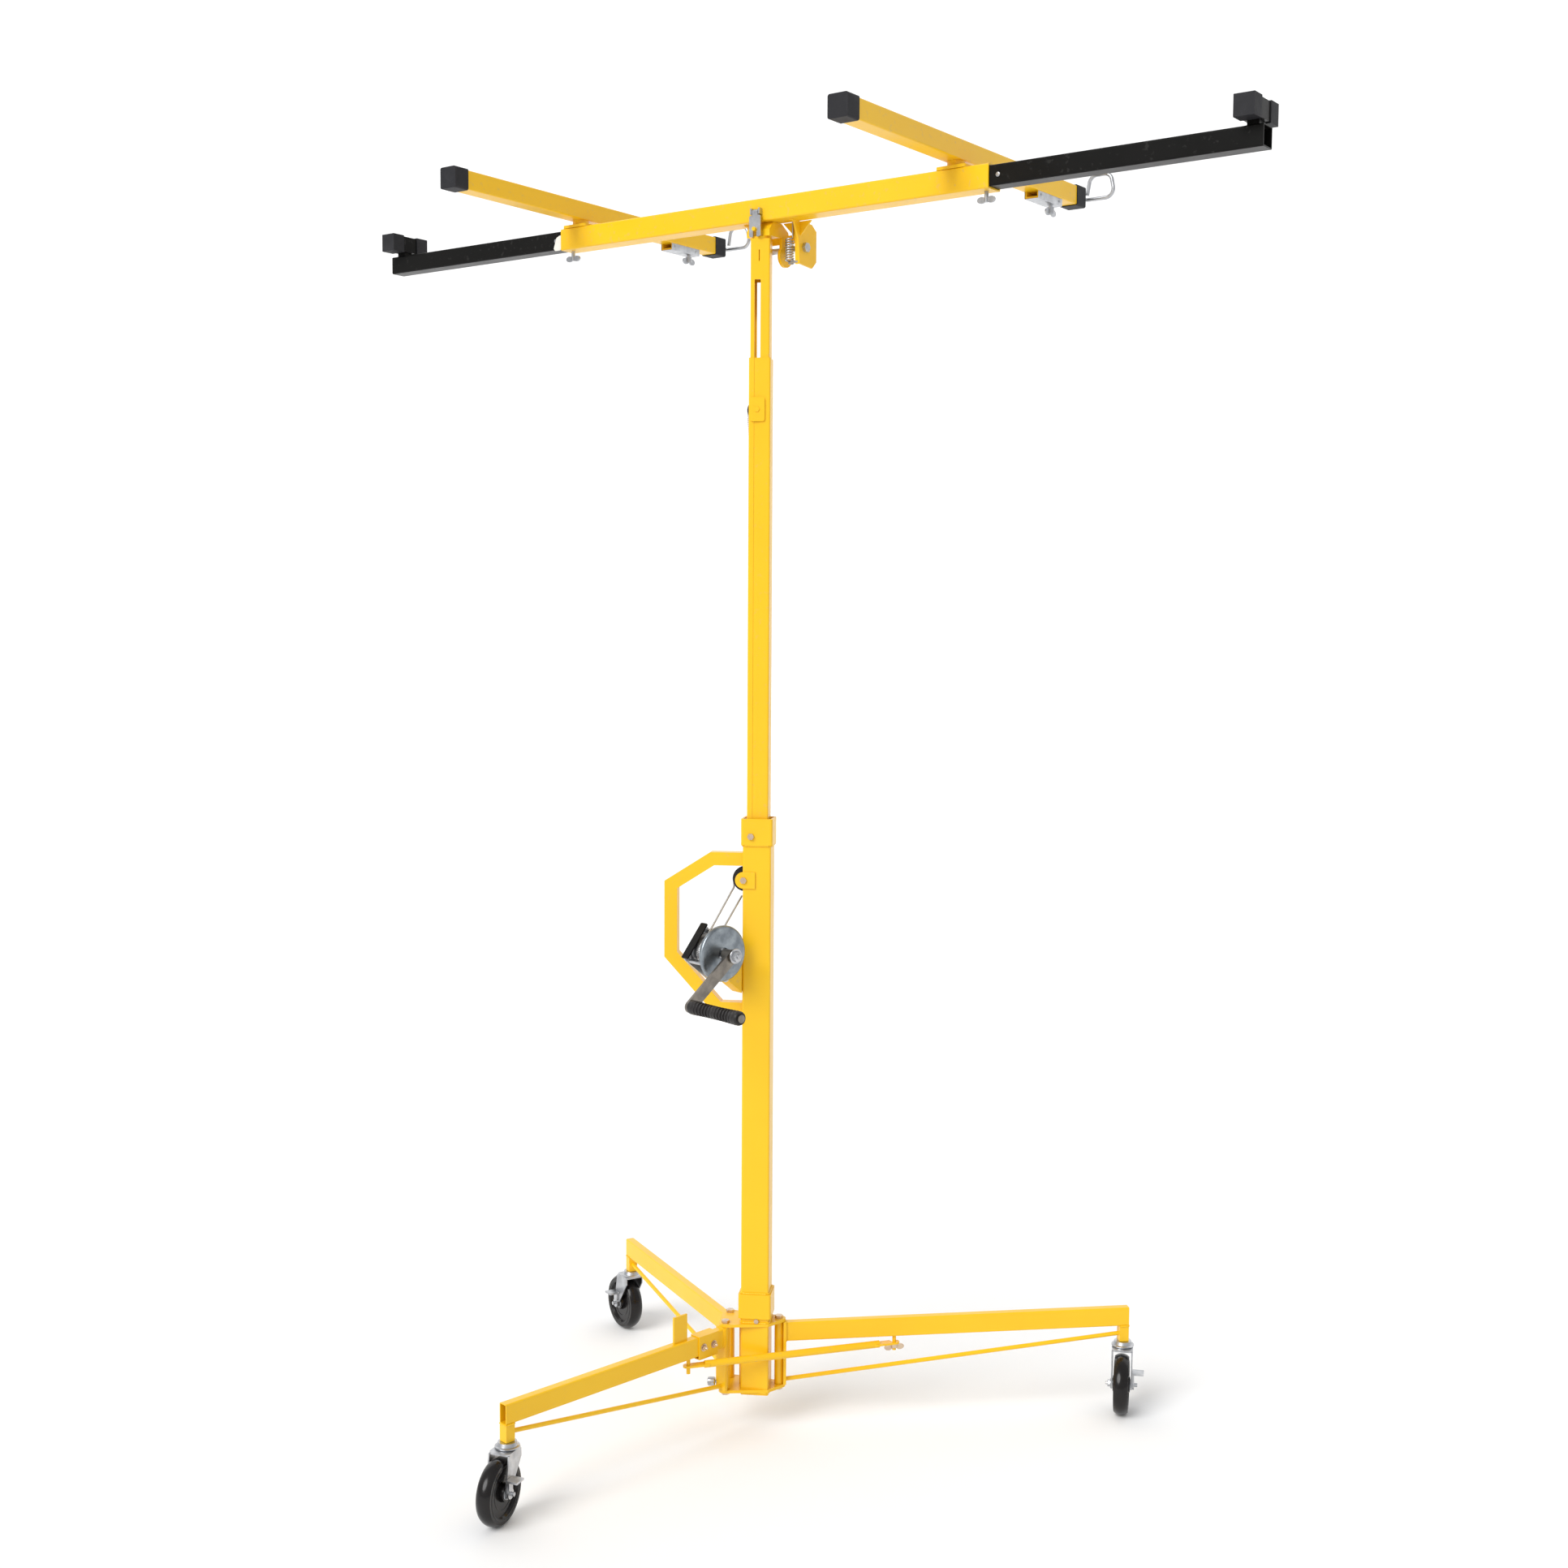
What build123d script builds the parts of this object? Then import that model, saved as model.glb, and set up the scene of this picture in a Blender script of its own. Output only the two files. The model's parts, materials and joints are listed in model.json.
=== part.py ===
"""Drywall lift: a tripod base on casters, a three-section winch mast and a tilting panel cradle.

Units are millimetres and +Z is up. The origin is on the floor, on the axis of the mast.
+X is the side of the long leg, -X is the operator's side and -Y is the crank's side.
The mast is modelled raised, and the cradle is swivelled on its head.
"""

from build123d import *
from math import acos, atan2, cos, hypot, radians, sin
import os

os.makedirs("parts", exist_ok=True)

# ---------------------------------------------------------------- driving dimensions
# Mast sections: square tubes nested in each other.
OUTER, OUTER_WALL = 58.0, 2.0
MIDDLE, MIDDLE_WALL = 44.0, 2.0
INNER, INNER_WALL = 39.0, 2.0
OUTER_FOOT, OUTER_TOP = 77.0, 1279.0
MIDDLE_FOOT, MIDDLE_TOP = 1026.0, 2206.0
INNER_FOOT, INNER_TOP = 1229.0, 2440.0
COLLAR, COLLAR_FOOT = 65.0, 1227.0
SLEEVE, SLEEVE_FOOT, SLEEVE_TOP = 68.0, 241.0, 292.0
CABLE_SLOT = 22.0  # width of the long slots on the operator's side
AXLE_SLOT = 12.0  # width of the inner section's slots for the upper axle
GROOVE_DEPTH = 0.8

# Sheaves and lifting cable.
CABLE_R = 2.0
SHEAVE_WIDTH = 8.0
SHEAVE_AXLE_R = 4.0
LOWER_SHEAVE_R, LOWER_SHEAVE_X, LOWER_SHEAVE_Z = 26.0, -27.0, 1155.0
UPPER_SHEAVE_R, UPPER_SHEAVE_X, UPPER_SHEAVE_Z = 22.0, -5.0, 2104.0
GROOVE_SINK = 4.5  # from a sheave's rim to the root of its groove
GROOVE_HALF = 1.8  # half the width of that root
SHEAVE_LEAD = 18.0  # straight cable beside a sheave before it slants away
FOOT_SHEAVE_R, FOOT_SHEAVE_Z, FOOT_AXLE_R = 11.0, 1048.0, 3.0

# Base: three legs that swing on vertical pins beside the mast's foot.
HUB_LOW, HUB_HIGH, HUB_PLATE = 84.0, 224.0, 6.0
PIN_R = 5.0
LEG_TALL, LEG_WIDE, LEG_WALL = 40.0, 20.0, 2.0
LEG_TOP = 222.0
POST_FOOT = 148.0
ROD_R = 4.5
LEGS = {
    "front": {"pin": (-60.0, -32.0), "turn": -127.5, "reach": 565.0, "caster": -105.0},
    "rear": {"pin": (-60.0, 32.0), "turn": 123.0, "reach": 565.0, "caster": 130.0},
    "right": {"pin": (46.0, 12.0), "turn": 15.0, "reach": 746.0, "caster": -95.0},
}
BRACE_R, BRACE_Z, BRACE_TAB = 7.5, 166.0, 4.0
BRACE_FRONT_REACH, BRACE_RIGHT_REACH = 105.0, 246.0

# Casters.
WHEEL_R, WHEEL_WIDE, TRAIL = 63.5, 30.0, 33.0
STEM_R = 5.5
WHEEL_AXLE_R = 4.0

# Cradle: a swivelling, tilting cross of tubes that carries the panel.
CRADLE_TURN = -28.9
BEAM, BEAM_WALL, BEAM_HALF, BEAM_N, BEAM_FOOT = 45.0, 3.0, 527.0, 8.0, 2474.0
ARM, ARM_WALL, ARM_FOOT = 38.0, 2.5, 2535.0
ARM_NEAR, ARM_FAR = -384.0, 490.0
ARM_PLACES = {"left": -490.0, "right": 445.0}
CAP_LONG, CAP_SKIN = 36.0, 2.0
OUTRIGGER, OUTRIGGER_WALL, OUTRIGGER_REACH = 38.0, 2.5, 1054.0
T_BAR_LONG, T_POST, T_FOOT = 104.0, 22.0, 2523.0
TILT_N, TILT_Z, TILT_BOLT_R = 48.0, 2425.0, 6.0
STEM_SOCKET_R, SWIVEL_R = 15.05, 15.0
HOOK_WIRE_R = 4.0

# Winch: its axis is level and points out of the crank's side.
WINCH_AXIS = -42.0  # direction of the crank end of the axis, from +X
WINCH_LEAN = 38.0
WINCH_FACE = (-58.0, -96.0, 1014.0)  # centre of the cover's flat back
SHAFT_R, RUNNING = 7.0, 0.05
DRUM_R, FLANGE_R, WRAP_R, DRUM_MID = 16.0, 33.0, 27.5, -36.0
COVER_R = 57.0
CRANK_REACH, CRANK_ANGLE = 140.0, 168.0
CRANK_WIDE, GRIP_LONG = 25.0, 150.0
SPACER_X, SPACER_Y, SPACER_R = 36.0, 16.0, 5.0
TAIL_ALONG = -20.0

# Handle frame on the operator's side.
HANDLE = 27.0
HANDLE_WALL = 2.0


# ---------------------------------------------------------------- shared helpers
def finish(piece, label, place=Location()):
    """Places a finished piece, names it and writes its file."""
    placed = piece.moved(place)
    placed.label = label
    export_step(placed, f"parts/{label}.step")


def square_tube(size, wall, corner):
    """Sketches a square tube's section with rounded corners in the active sketch."""
    RectangleRounded(size, size, corner)
    RectangleRounded(size - 2 * wall, size - 2 * wall, max(corner - wall, 0.5), mode=Mode.SUBTRACT)


def level(height):
    """A horizontal plane at a height."""
    return Plane.XY.offset(height)


CRADLE = Location((0, 0, 0), (0, 0, CRADLE_TURN))
# The foot sheave turns the cable up again, in a plane set across the two runs.
RUN_DOWN = Vector(-3, 0, 0)
RUN_UP = Vector(-19, 8, 0)
ACROSS = (RUN_DOWN - RUN_UP).normalized()
FOOT_ORIGIN = ((RUN_DOWN.X + RUN_UP.X) / 2, (RUN_DOWN.Y + RUN_UP.Y) / 2, FOOT_SHEAVE_Z)
FOOT = Plane(origin=FOOT_ORIGIN, x_dir=ACROSS, z_dir=(0, 0, 1))
FOOT_UPRIGHT = Plane(origin=FOOT_ORIGIN, x_dir=ACROSS, z_dir=(ACROSS.Y, -ACROSS.X, 0))
W = Vector(cos(radians(WINCH_AXIS)), sin(radians(WINCH_AXIS)), 0)
SIDE = Vector(-W.Y, W.X, 0)
UP_ALONG = SIDE * sin(radians(WINCH_LEAN)) + Vector(0, 0, cos(radians(WINCH_LEAN)))
WINCH = Location(Plane(origin=WINCH_FACE, x_dir=UP_ALONG, z_dir=W))


def winch_point(side, up, along):
    """A point given by its place across the winch's axis and along it."""
    return Vector(*WINCH_FACE) + SIDE * side + Vector(0, 0, up) + W * along


# ---------------------------------------------------------------- mast
with BuildPart() as outer_mast:
    with BuildSketch(level(OUTER_FOOT)):
        square_tube(OUTER, OUTER_WALL, 4)
    extrude(amount=OUTER_TOP - OUTER_FOOT)
    with BuildSketch(level(COLLAR_FOOT)):
        RectangleRounded(COLLAR, COLLAR, 5)
        RectangleRounded(OUTER - 1, OUTER - 1, 3, mode=Mode.SUBTRACT)
    extrude(amount=OUTER_TOP + 2 - COLLAR_FOOT)
    with BuildSketch(level(SLEEVE_FOOT)):
        RectangleRounded(SLEEVE, SLEEVE, 5)
        RectangleRounded(OUTER - 1, OUTER - 1, 3, mode=Mode.SUBTRACT)
    extrude(amount=SLEEVE_TOP - SLEEVE_FOOT)
    # Window for the lower sheave and the cables, and the hole for its axle.
    with Locations((-OUTER / 2, 0, LOWER_SHEAVE_Z - 10)):
        Box(12, 14, 84, mode=Mode.SUBTRACT)
    with BuildSketch(Plane.XZ.offset(-OUTER)):
        with Locations((LOWER_SHEAVE_X, LOWER_SHEAVE_Z)):
            Circle(SHEAVE_AXLE_R)
    extrude(amount=2 * OUTER, mode=Mode.SUBTRACT)
finish(outer_mast.part, "outer_mast")

with BuildPart() as middle_mast:
    with BuildSketch(level(MIDDLE_FOOT)):
        square_tube(MIDDLE, MIDDLE_WALL, 3.5)
    extrude(amount=MIDDLE_TOP - MIDDLE_FOOT)
    slot_foot, slot_top = MIDDLE_FOOT + 8, UPPER_SHEAVE_Z + 34
    with Locations((-MIDDLE / 2, 0, (slot_foot + slot_top) / 2)):
        Box(8, CABLE_SLOT, slot_top - slot_foot, mode=Mode.SUBTRACT)
    with Locations((UPPER_SHEAVE_X, -MIDDLE / 2, (MIDDLE_FOOT + MIDDLE_TOP) / 2)):
        Box(AXLE_SLOT, 2 * GROOVE_DEPTH, MIDDLE_TOP - MIDDLE_FOOT, mode=Mode.SUBTRACT)
    with BuildSketch(Plane.XZ.offset(-MIDDLE)):
        with Locations((UPPER_SHEAVE_X, UPPER_SHEAVE_Z)):
            Circle(SHEAVE_AXLE_R)
    extrude(amount=2 * MIDDLE, mode=Mode.SUBTRACT)
    # Floor plate and cheeks that carry the foot sheave.
    with BuildSketch(level(MIDDLE_FOOT)):
        Rectangle(MIDDLE - 2 * MIDDLE_WALL + 1, MIDDLE - 2 * MIDDLE_WALL + 1)
    extrude(amount=4)
    for face in (3.4, -6.4):
        with BuildSketch(FOOT_UPRIGHT.offset(face)):
            with Locations((0, -7)):
                Rectangle(14, 24)
        extrude(amount=3)
    with BuildSketch(FOOT_UPRIGHT.offset(-4)):
        Circle(FOOT_AXLE_R)
    extrude(amount=8)
finish(middle_mast.part, "middle_mast")

SOCKET_FOOT = 2371.0
with BuildPart() as inner_mast:
    with BuildSketch(level(INNER_FOOT)):
        square_tube(INNER, INNER_WALL, 3)
    extrude(amount=INNER_TOP - INNER_FOOT)
    # Plug with the socket for the swivelling head.
    with BuildSketch(level(SOCKET_FOOT)):
        RectangleRounded(INNER - 1, INNER - 1, 2.5)
        Circle(STEM_SOCKET_R, mode=Mode.SUBTRACT)
    extrude(amount=INNER_TOP - SOCKET_FOOT)
    left_top, axle_foot, axle_top = 2300.0, 1320.0, SOCKET_FOOT - 11
    with Locations((-INNER / 2, 0, (INNER_FOOT + left_top) / 2)):
        Box(8, CABLE_SLOT, left_top - INNER_FOOT, mode=Mode.SUBTRACT)
    with Locations((UPPER_SHEAVE_X, 0, (axle_foot + axle_top) / 2)):
        Box(AXLE_SLOT, 2 * INNER, axle_top - axle_foot, mode=Mode.SUBTRACT)
    with Locations((-2, -INNER / 2, 2407)):
        Box(2, 12, 22, mode=Mode.SUBTRACT)
finish(inner_mast.part, "inner_mast")

PAD_LONG, PAD_WIDE, PAD_THICK, PAD_SHIFT = 38.0, 8.0, 4.6, 16.0


def guide_pads(foot, reach):
    """Eight slider pads in the gap round the middle section, two on each side."""
    with BuildPart() as pads:
        with PolarLocations(0, 4):
            with Locations((reach, -PAD_SHIFT, foot + PAD_LONG / 2), (reach, PAD_SHIFT, foot + PAD_LONG / 2)):
                Box(PAD_THICK, PAD_WIDE, PAD_LONG)
    return pads.part


finish(guide_pads(1239, OUTER / 2 - OUTER_WALL - PAD_THICK / 2), "mast_guide_pads")
finish(guide_pads(1029, MIDDLE / 2 + PAD_THICK / 2), "middle_foot_pads")

# ---------------------------------------------------------------- sheaves
def sheave(radius, bore, width=SHEAVE_WIDTH):
    """A grooved wheel about the Y axis."""
    with BuildPart() as wheel:
        with BuildSketch(Plane.XZ):
            with BuildLine():
                Polyline(
                    (bore, -width / 2), (radius, -width / 2), (radius, -width / 2 + 0.6),
                    (radius - GROOVE_SINK, -GROOVE_HALF), (radius - GROOVE_SINK, GROOVE_HALF),
                    (radius, width / 2 - 0.6), (radius, width / 2), (bore, width / 2), close=True,
                )
            make_face()
        revolve(axis=Axis.Z)
    return wheel.part.rotate(Axis.X, 90)


axle_bore = SHEAVE_AXLE_R + RUNNING
finish(sheave(LOWER_SHEAVE_R, axle_bore), "lower_sheave", Location((LOWER_SHEAVE_X, 0, LOWER_SHEAVE_Z)))
finish(sheave(UPPER_SHEAVE_R, axle_bore), "upper_sheave", Location((UPPER_SHEAVE_X, 0, UPPER_SHEAVE_Z)))

finish(sheave(FOOT_SHEAVE_R, FOOT_AXLE_R + RUNNING, 6), "foot_sheave", Location(FOOT))

CHEEK = 3.0
with BuildPart() as lower_sheave_bracket:
    for face in (-OUTER / 2, OUTER / 2 + CHEEK):
        with BuildSketch(Plane.XZ.offset(-face)):
            with Locations((LOWER_SHEAVE_X, LOWER_SHEAVE_Z)):
                Circle(17)
            with Locations((LOWER_SHEAVE_X + 12, LOWER_SHEAVE_Z)):
                Rectangle(24, 34)
            with Locations((LOWER_SHEAVE_X, LOWER_SHEAVE_Z)):
                Circle(SHEAVE_AXLE_R, mode=Mode.SUBTRACT)
        extrude(amount=CHEEK)
finish(lower_sheave_bracket.part, "lower_sheave_bracket")

BOSS = 3.0
with BuildPart() as upper_sheave_bracket:
    for face in (-MIDDLE / 2, MIDDLE / 2 + BOSS):
        with BuildSketch(Plane.XZ.offset(-face)):
            with Locations((UPPER_SHEAVE_X + 1, UPPER_SHEAVE_Z)):
                RectangleRounded(30, 48, 5)
            with Locations((UPPER_SHEAVE_X, UPPER_SHEAVE_Z)):
                Circle(SHEAVE_AXLE_R, mode=Mode.SUBTRACT)
        extrude(amount=BOSS)


def cross_bolt(radius, start, end, head_radius, head):
    """A bolt about the Y axis with a hexagonal head and nut at its ends."""
    with BuildPart() as bolt:
        with BuildSketch(Plane.XZ.offset(-start)):
            Circle(radius)
        extrude(amount=start - end)
        for face in (start + head, end):
            with BuildSketch(Plane.XZ.offset(-face)):
                RegularPolygon(head_radius, 6)
            extrude(amount=head)
    return bolt.part


upper_span = MIDDLE / 2 + BOSS
upper_axle = cross_bolt(SHEAVE_AXLE_R, upper_span, -upper_span, 6, 1.5)
upper_axle = upper_axle.moved(Location((UPPER_SHEAVE_X, 0, UPPER_SHEAVE_Z)))
finish(Compound(children=[*upper_sheave_bracket.part.solids(), upper_axle.solid()]), "upper_sheave_bracket")

# ---------------------------------------------------------------- lifting cable
def cable(*points):
    """Straight lengths of cable through the points, with rounded joints."""
    with BuildPart() as run:
        for start, end in zip(points, points[1:]):
            line = Vector(*end) - Vector(*start)
            with BuildSketch(Plane(origin=start, z_dir=line)):
                Circle(CABLE_R)
            extrude(amount=line.length)
        for corner in points[1:-1]:
            with Locations(corner):
                Sphere(CABLE_R)
    return run.part


def cable_over(centre_x, centre_z, radius):
    """The half turn of cable over the top of a sheave."""
    with BuildPart() as turn:
        with BuildSketch(Plane(origin=(centre_x - radius, 0, centre_z), z_dir=(0, 0, 1))):
            Circle(CABLE_R)
        revolve(axis=Axis((centre_x, 0, centre_z), (0, 1, 0)), revolution_arc=180)
    return turn.part


lower_pitch = LOWER_SHEAVE_R - GROOVE_SINK + CABLE_R + 0.3
upper_pitch = UPPER_SHEAVE_R - GROOVE_SINK + CABLE_R + 0.3
low_left = Vector(LOWER_SHEAVE_X - lower_pitch, 0, LOWER_SHEAVE_Z)
low_right = Vector(LOWER_SHEAVE_X + lower_pitch, 0, LOWER_SHEAVE_Z)
leaving = low_left - Vector(0, 0, SHEAVE_LEAD)
# The point where the cable meets the drum at a tangent.
drum_pitch = WRAP_R + CABLE_R + 0.3
sight = leaving - Vector(*WINCH_FACE)
sight_angle = atan2(sight.Z, sight.dot(SIDE)) + acos(drum_pitch / hypot(sight.Z, sight.dot(SIDE)))
drum_tangent = winch_point(drum_pitch * cos(sight_angle), drum_pitch * sin(sight_angle), DRUM_MID)
winch_run = cable(drum_tangent, leaving, low_left)
over_lower = cable_over(LOWER_SHEAVE_X, LOWER_SHEAVE_Z, lower_pitch)
down_run = cable(low_right, (RUN_DOWN.X, RUN_DOWN.Y, FOOT_SHEAVE_Z + 16))
with BuildPart() as winch_cable:
    add(winch_run)
    add(over_lower)
    add(down_run)
    with Locations(low_left):
        Sphere(CABLE_R)
# The cable's dead end comes back out of the window to an eye on the winch's upper spacer.
with BuildPart() as tail_eye:
    with BuildSketch(level(TAIL_ALONG - 3)):
        with Locations((SPACER_X, SPACER_Y)):
            Circle(SPACER_R + 2.5)
            Circle(SPACER_R + RUNNING, mode=Mode.SUBTRACT)
    extrude(amount=6)
tail_end = (WINCH * Location((SPACER_X + SPACER_R + 1.5, SPACER_Y, TAIL_ALONG))).position
with BuildPart() as cable_tail:
    add(cable((-25.5, 0, 1120), (-35, 0, 1118), tail_end))
    add(tail_eye.part.moved(WINCH))
finish(Compound(children=[winch_cable.part.solid(), cable_tail.part.solid()]), "winch_cable")

up_left = Vector(UPPER_SHEAVE_X - upper_pitch, 0, UPPER_SHEAVE_Z)
up_right = Vector(UPPER_SHEAVE_X + upper_pitch, 0, UPPER_SHEAVE_Z)
with BuildPart() as mast_cable:
    up_start = (RUN_UP.X, RUN_UP.Y, FOOT_SHEAVE_Z + 16)
    add(cable(up_start, (RUN_UP.X, RUN_UP.Y, 1985), up_left - Vector(0, 0, SHEAVE_LEAD), up_left))
    with Locations(up_left):
        Sphere(CABLE_R)
    add(cable_over(UPPER_SHEAVE_X, UPPER_SHEAVE_Z, upper_pitch))
    add(cable(up_right, (up_right.X, 0, 2024)))
finish(mast_cable.part, "mast_cable")

# ---------------------------------------------------------------- handle frame and winch bracket
handle_path = (
    (-OUTER / 2, 1196), (-94, 1196), (-180, 1141), (-180, 996), (-81, 886), (-OUTER / 2, 886),
)
with BuildPart() as handle_frame:
    with BuildLine(Plane.XZ) as handle_line:
        Polyline(*handle_path)
    with BuildSketch(Plane(origin=handle_line.line @ 0, z_dir=handle_line.line % 0)):
        Rectangle(HANDLE, HANDLE)
        Rectangle(HANDLE - 2 * HANDLE_WALL, HANDLE - 2 * HANDLE_WALL, mode=Mode.SUBTRACT)
    sweep(transition=Transition.RIGHT)
finish(handle_frame.part, "handle_frame")

FRAME_PLATE = 4.0
BASE_FAR, BASE_NEAR = -50.0, -46.0
LEFT_PLATE, RIGHT_PLATE = -66.0, -10.0
with BuildPart() as winch_frame:
    for foot in (LEFT_PLATE, RIGHT_PLATE):
        with BuildSketch(level(foot)):
            with Locations((0, (BASE_FAR + 34) / 2)):
                RectangleRounded(84, 34 - BASE_FAR, 9)
            Circle(SHAFT_R + RUNNING, mode=Mode.SUBTRACT)
        extrude(amount=FRAME_PLATE)
    with Locations((0, (BASE_FAR + BASE_NEAR) / 2, (LEFT_PLATE + RIGHT_PLATE + FRAME_PLATE) / 2)):
        Box(66, BASE_NEAR - BASE_FAR, RIGHT_PLATE + FRAME_PLATE - LEFT_PLATE)
finish(winch_frame.part, "winch_frame", WINCH)

# The bracket runs from the winch's base to the mast's face.
with BuildPart() as winch_bracket_block:
    with Locations((-2, BASE_FAR - 30, (LEFT_PLATE + RIGHT_PLATE + FRAME_PLATE) / 2)):
        Box(56, 60, 34)
bracket_block = winch_bracket_block.part.moved(WINCH)
with BuildPart() as winch_bracket:
    add(bracket_block)
    split(bisect_by=Plane(origin=(-OUTER / 2, 0, 0), z_dir=(-1, 0, 0)), keep=Keep.TOP)
finish(winch_bracket.part, "winch_bracket")

PAWL_X, PAWL_Y, PAWL_PIN_R = -32.0, 19.0, 3.0
with BuildPart() as winch_pins:
    with BuildSketch(level(LEFT_PLATE + FRAME_PLATE)):
        with Locations((SPACER_X, SPACER_Y), (-SPACER_X, SPACER_Y)):
            Circle(SPACER_R)
    extrude(amount=RIGHT_PLATE - LEFT_PLATE - FRAME_PLATE)
    with BuildSketch(level(LEFT_PLATE - 12)):
        with Locations((PAWL_X, PAWL_Y)):
            Circle(PAWL_PIN_R)
    extrude(amount=12)
finish(winch_pins.part, "winch_pins", WINCH)

with BuildPart() as winch_guard:
    with BuildSketch(Plane.XZ.offset(-34)):
        with Locations((0, LEFT_PLATE + 9)):
            RectangleRounded(84, 20, 3)
    extrude(amount=-3)
finish(winch_guard.part, "winch_guard", WINCH)

with BuildPart() as winch_cover:
    with BuildSketch(level(RIGHT_PLATE + FRAME_PLATE)):
        Circle(COVER_R)
        Circle(13, mode=Mode.SUBTRACT)
    extrude(amount=9)
    fillet(winch_cover.edges().filter_by(GeomType.CIRCLE).sort_by(Axis.Z)[-2:].sort_by(SortBy.RADIUS)[-1], 5)
finish(winch_cover.part, "winch_cover", WINCH)

# ---------------------------------------------------------------- winch drive
CRANK_FACE = 28.0  # where the crank arm's bar starts along the shaft
with BuildPart() as drive_shaft:
    with BuildSketch(level(LEFT_PLATE - 14)):
        Circle(SHAFT_R)
    extrude(amount=CRANK_FACE + 14 - LEFT_PLATE + 6)
finish(drive_shaft.part, "drive_shaft", WINCH)

with BuildPart() as cable_drum:
    drum_foot, drum_top = LEFT_PLATE + FRAME_PLATE + 2, RIGHT_PLATE - 2
    with BuildSketch(level(drum_foot)):
        Circle(DRUM_R)
        Circle(SHAFT_R, mode=Mode.SUBTRACT)
    extrude(amount=drum_top - drum_foot)
    for foot in (drum_foot, drum_top - 2.5):
        with BuildSketch(level(foot)):
            Circle(FLANGE_R)
            Circle(SHAFT_R, mode=Mode.SUBTRACT)
        extrude(amount=2.5)
finish(cable_drum.part, "cable_drum", WINCH)

with BuildPart() as cable_wraps:
    with BuildSketch(level(drum_foot + 2.5)):
        Circle(WRAP_R)
        Circle(DRUM_R, mode=Mode.SUBTRACT)
    extrude(amount=drum_top - drum_foot - 5)
finish(cable_wraps.part, "cable_wraps", WINCH)

RATCHET_R, TEETH = 24.0, 16
with BuildPart() as brake_ratchet:
    with BuildSketch(level(LEFT_PLATE - 9)):
        Circle(RATCHET_R)
        with PolarLocations(RATCHET_R, TEETH):
            Rectangle(5, 3.4, rotation=30, mode=Mode.SUBTRACT)
        Circle(SHAFT_R, mode=Mode.SUBTRACT)
    extrude(amount=6)
finish(brake_ratchet.part, "brake_ratchet", WINCH)

with BuildPart() as ratchet_pawl:
    with BuildSketch(level(LEFT_PLATE - 8.7)):
        with Locations((PAWL_X, PAWL_Y - 13)):
            Rectangle(9, 26)
        with Locations((PAWL_X, PAWL_Y)):
            Circle(6)
            Circle(PAWL_PIN_R + RUNNING, mode=Mode.SUBTRACT)
    extrude(amount=5.4)
finish(ratchet_pawl.part, "ratchet_pawl", WINCH)

crank_turn = Rotation(0, 0, CRANK_ANGLE)
with BuildPart() as crank_arm:
    with BuildSketch(level(6)):
        Circle(11)
        Circle(SHAFT_R, mode=Mode.SUBTRACT)
    extrude(amount=CRANK_FACE - 6)
    with BuildSketch(level(CRANK_FACE)):
        with Locations((CRANK_REACH / 2, 0)):
            SlotCenterToCenter(CRANK_REACH, CRANK_WIDE)
        Circle(SHAFT_R, mode=Mode.SUBTRACT)
    extrude(amount=6)
    with BuildSketch(level(CRANK_FACE - 5)):
        with Locations((CRANK_REACH, 0)):
            RegularPolygon(7, 6)
    extrude(amount=5)
    with BuildSketch(level(CRANK_FACE + 6)):
        with Locations((CRANK_REACH, 0)):
            Circle(4)
    extrude(amount=GRIP_LONG + 1)
    with BuildSketch(level(CRANK_FACE + 7 + GRIP_LONG)):
        with Locations((CRANK_REACH, 0)):
            Circle(8)
    extrude(amount=3)
finish(crank_arm.part.moved(crank_turn), "crank_arm", WINCH)

with BuildPart() as crank_grip:
    with BuildSketch(Plane.XZ):
        with BuildLine():
            waist, knob = GRIP_LONG / 2, GRIP_LONG - 13
            Polyline((4.05, 0), (13, 0), (14, 3), (14, 12))
            ThreePointArc((14, 12), (11.5, 42), (12.5, waist))
            ThreePointArc((12.5, waist), (11.5, GRIP_LONG - 42), (14, knob))
            Polyline((14, knob), (14, GRIP_LONG - 4), (12.5, GRIP_LONG), (4.05, GRIP_LONG), (4.05, 0))
        make_face()
    revolve(axis=Axis.Z)
grip_place = WINCH * crank_turn * Location((CRANK_REACH, 0, CRANK_FACE + 6.5))
finish(crank_grip.part, "crank_grip", grip_place)

# ---------------------------------------------------------------- hub at the mast's foot
with BuildPart() as hub_plates:
    for foot in (HUB_LOW, HUB_HIGH):
        with BuildSketch(level(foot)) as plate:
            with Locations([leg["pin"] for leg in LEGS.values()]):
                Circle(14)
            Rectangle(OUTER, OUTER + 2)
            make_hull()
            Rectangle(OUTER, OUTER, mode=Mode.SUBTRACT)
            with Locations([leg["pin"] for leg in LEGS.values()]):
                Circle(PIN_R, mode=Mode.SUBTRACT)
        extrude(amount=HUB_PLATE)
    # Gusset plates between the two, on the mast's operator side.
    with Locations((-OUTER / 2 - 3, 0, (HUB_LOW + HUB_PLATE + HUB_HIGH) / 2)):
        Box(6, 10, HUB_HIGH - HUB_LOW - HUB_PLATE)
finish(hub_plates.part, "hub_plates")

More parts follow.
